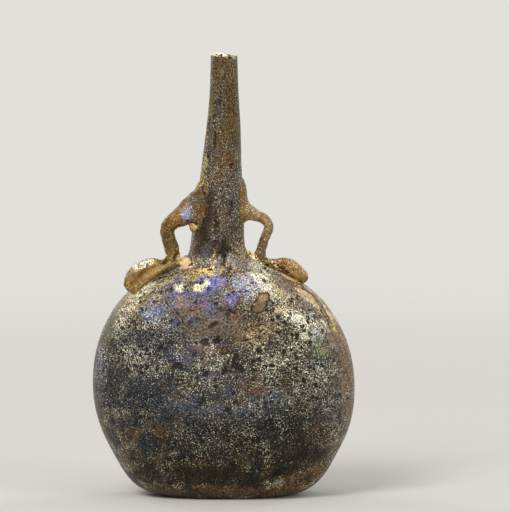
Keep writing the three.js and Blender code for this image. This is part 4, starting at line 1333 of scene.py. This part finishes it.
# %% Amber glass and torn glass
amber_shader = crusted_finish(amber_glass, curl=1000.0, grain=1800.0, film_depth=0.6,
                              crust_bump=0.2, gloss=(0.24, 0.5), small_pits=0.06, grit=0.4)
amber_shader.inputs["Subsurface Weight"].default_value = 0.12
amber_shader.inputs["Subsurface Radius"].default_value = (1.0, 0.5, 0.2)
amber_shader.inputs["Subsurface Scale"].default_value = 2.5 * mm
weather(wad.data, film="umber", crust="dull", cover=0.35)
crusted_finish(scar_glass, curl=380.0, grain=900.0, crust_bump=0.35)
print("three finishes")

# %% [markdown]
# ## Grains of crust
# Where the crust is thick, single grains and flakes stand clear of the skin, and they are what
# makes the outline sparkle. Thousands of them can't be placed by hand. A tree scatters points
# over the vessel, thickest where the crust is, and sets a small flake on each, turned and
# sized at random from a fixed seed.

# %% The tree that scatters grains
grain_finish = bpy.data.materials.new("crust_grain")
grain_sizes = {"Grains for a square metre": 1500000.0, "Least size": 0.16 * mm,
               "Greatest size": 0.42 * mm, "Seed": 7}
grain_tree, given = new_tree("crust_grains", grain_sizes)
add, less, times, times_add, power_of = sums(
    grain_tree, "ADD", "SUBTRACT", "MULTIPLY", "MULTIPLY_ADD", "POWER")
thick_crust = between_marks(grain_tree, named(grain_tree, "crust"), 0.3, 1.0)
outside = put(grain_tree, "FunctionNodeCompare", {0: named(grain_tree, "outside"), 1: 0.5},
              operation="GREATER_THAN").outputs[0]
scattered = put(grain_tree, "GeometryNodeDistributePointsOnFaces", {
    "Mesh": given["Geometry"], "Selection": outside, "Seed": given["Seed"],
    "Density": times(thick_crust, given["Grains for a square metre"])}).outputs
ball = put(grain_tree, "GeometryNodeMeshIcoSphere", {"Radius": 1.0, "Subdivisions": 1}).outputs[0]
flake = put(grain_tree, "GeometryNodeTransform",
            {"Geometry": ball, "Scale": (1.0, 0.72, 0.42)}).outputs[0]
full_turn, tilt = 6.28, 0.5
spin = put(grain_tree, "FunctionNodeRandomValue",
           {0: (-tilt, -tilt, 0.0), 1: (tilt, tilt, full_turn), "Seed": given["Seed"]},
           data_type="FLOAT_VECTOR").outputs[0]
spin = put(grain_tree, "FunctionNodeEulerToRotation", {0: spin}).outputs[0]
turned = put(grain_tree, "FunctionNodeRotateRotation", {0: scattered["Rotation"], 1: spin},
             rotation_space="LOCAL").outputs[0]
draw = put(grain_tree, "FunctionNodeRandomValue", {"Seed": add(given["Seed"], 1.0)},
           data_type="FLOAT").outputs[1]
size = times_add(power_of(draw, 2.0), less(given["Greatest size"], given["Least size"]),
                 given["Least size"])
sown = put(grain_tree, "GeometryNodeInstanceOnPoints",
           {"Points": scattered["Points"], "Instance": flake, "Rotation": turned,
            "Scale": size}).outputs[0]
finish_tree(grain_tree, sown, grain_finish)

# %% Sowing the grains
# None grow inside the bottle, on its resting ring or on its rim
faces_in_a_flake = 20
height = places_of(vessel.data)[:, 2]
depth_in = [smooth_skin.find_nearest(vertex.co)[3] for vertex in vessel.data.vertices]
on_outside = np.array(depth_in) < 1.0 * mm
below_rim = height < overall_height - 1.5 * mm
store(vessel.data, "outside", on_outside * (height > 1.5 * mm) * below_rim)
grains = grow("crust_grains", vessel.data.copy(), grain_tree, grain_sizes)
print(len(grains.data.polygons) // faces_in_a_flake, "grains")

# %% Grain finish
grain_finish.use_nodes = True
chalky = grain_finish.node_tree
spot = put(chalky, "ShaderNodeTexCoord").outputs["Object"]
speckled = calc(chalky, "MULTIPLY_ADD", fine_noise(chalky, spot, 900.0), 1.1, 0.4)
grain_colour = scaled(chalky, carried(chalky, "crust_colour", "Color"), speckled)
chalky_bump = put(chalky, "ShaderNodeBump", {"Strength": 0.5, "Distance": 0.05 * mm,
                  "Height": fine_noise(chalky, spot, 3000.0)}).outputs[0]
chalky_shader = chalky.nodes["Principled BSDF"]
for name, value in {"Base Color": grain_colour, "Normal": chalky_bump, "Roughness": 0.6}.items():
    feed(chalky, chalky_shader.inputs[name], value)
print("grains are finished")

# %% [markdown]
# ## The studio
# The floor is a pale disc that fades away to nothing at its edge, where the pale room behind it
# takes over, so no horizon line crosses the picture from any side. One large soft lamp stands
# in front on the left, as in the photograph, a weaker one on the right, and two narrow ones
# behind give the glass its thin pale edges. With the room they light a colour about as written.

# %% Floor
def round_floor(radius=1.6, sides=64):
    work = bmesh.new()
    bmesh.ops.create_circle(work, cap_ends=True, cap_tris=True, segments=sides, radius=radius)
    mesh = bpy.data.meshes.new("floor")
    work.to_mesh(mesh)
    work.free()
    return show("floor", mesh)


room_colour = (*light_of((226, 224, 219)), 1)
floor = round_floor()
plaster = bpy.data.materials.new("pale_plaster")
plaster.use_nodes = True
ground = plaster.node_tree
plaster_shader = ground.nodes["Principled BSDF"]
plaster_shader.inputs["Base Color"].default_value = room_colour
plaster_shader.inputs["Roughness"].default_value = 0.9
full_within, gone_beyond = 0.25, 1.5
spot = put(ground, "ShaderNodeTexCoord").outputs["Object"]
from_middle = put(ground, "ShaderNodeVectorMath", {0: spot}, operation="LENGTH").outputs["Value"]
fading = put(ground, "ShaderNodeMapRange",
             {"Value": from_middle, "From Min": gone_beyond, "From Max": full_within},
             interpolation_type="SMOOTHERSTEP").outputs[0]
nothing = put(ground, "ShaderNodeBsdfTransparent").outputs[0]
faded = put(ground, "ShaderNodeMixShader",
            {0: fading, 1: nothing, 2: plaster_shader.outputs[0]}).outputs[0]
ground.links.new(faded, ground.nodes["Material Output"].inputs["Surface"])
floor.data.materials.append(plaster)
print("the floor is", round(floor.dimensions.x, 1), "m across")

# %% Lamps and world
def lamp(name, place, size, power):
    """A square lamp that faces the bottle."""
    data = bpy.data.lights.new(name, "AREA")
    data.shape, data.size, data.energy = "SQUARE", size, power
    made = show(name, data)
    made.location = place
    made.rotation_euler = (bottle_middle - Vector(place)).to_track_quat("-Z", "Y").to_euler()


bottle_middle = Vector((0, 0, 0.1))
lamp("key_lamp", (-0.9, -1.5, 1.6), 0.9, 26)
lamp("fill_lamp", (1.5, -1.2, 0.7), 0.9, 7)
lamp("left_edge_lamp", (-1.1, 1.3, 0.9), 0.5, 4.5)
lamp("right_edge_lamp", (1.2, 1.2, 0.8), 0.5, 4.5)
world = bpy.data.worlds.new("pale_room")
bpy.context.scene.world = world
world.use_nodes = True
air = world.node_tree
background = air.nodes["Background"]
background.inputs["Color"].default_value = room_colour
# The room is white only where the camera, gloss or clear glass looks at it
path = put(air, "ShaderNodeLightPath").outputs
shown = calc(air, "MAXIMUM", path["Is Glossy Ray"], path["Is Transmission Ray"])
shown = calc(air, "MAXIMUM", path["Is Camera Ray"], shown)
room_light = 0.62
strength = calc(air, "MULTIPLY_ADD", shown, 1 - room_light, room_light)
air.links.new(strength, background.inputs["Strength"])
print("four lamps and a pale world")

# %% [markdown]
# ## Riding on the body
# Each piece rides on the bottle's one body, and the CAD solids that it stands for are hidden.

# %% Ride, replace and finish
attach(vessel, "root")
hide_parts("vessel")
for side, piece in handle_pieces.items():
    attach(piece, "root")
    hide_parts(f"{side}_tail_trail", f"{side}_handle_strap", f"{side}_neck_pad")
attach(wad, "root")
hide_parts("pontil_wad")
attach(grains, "root")
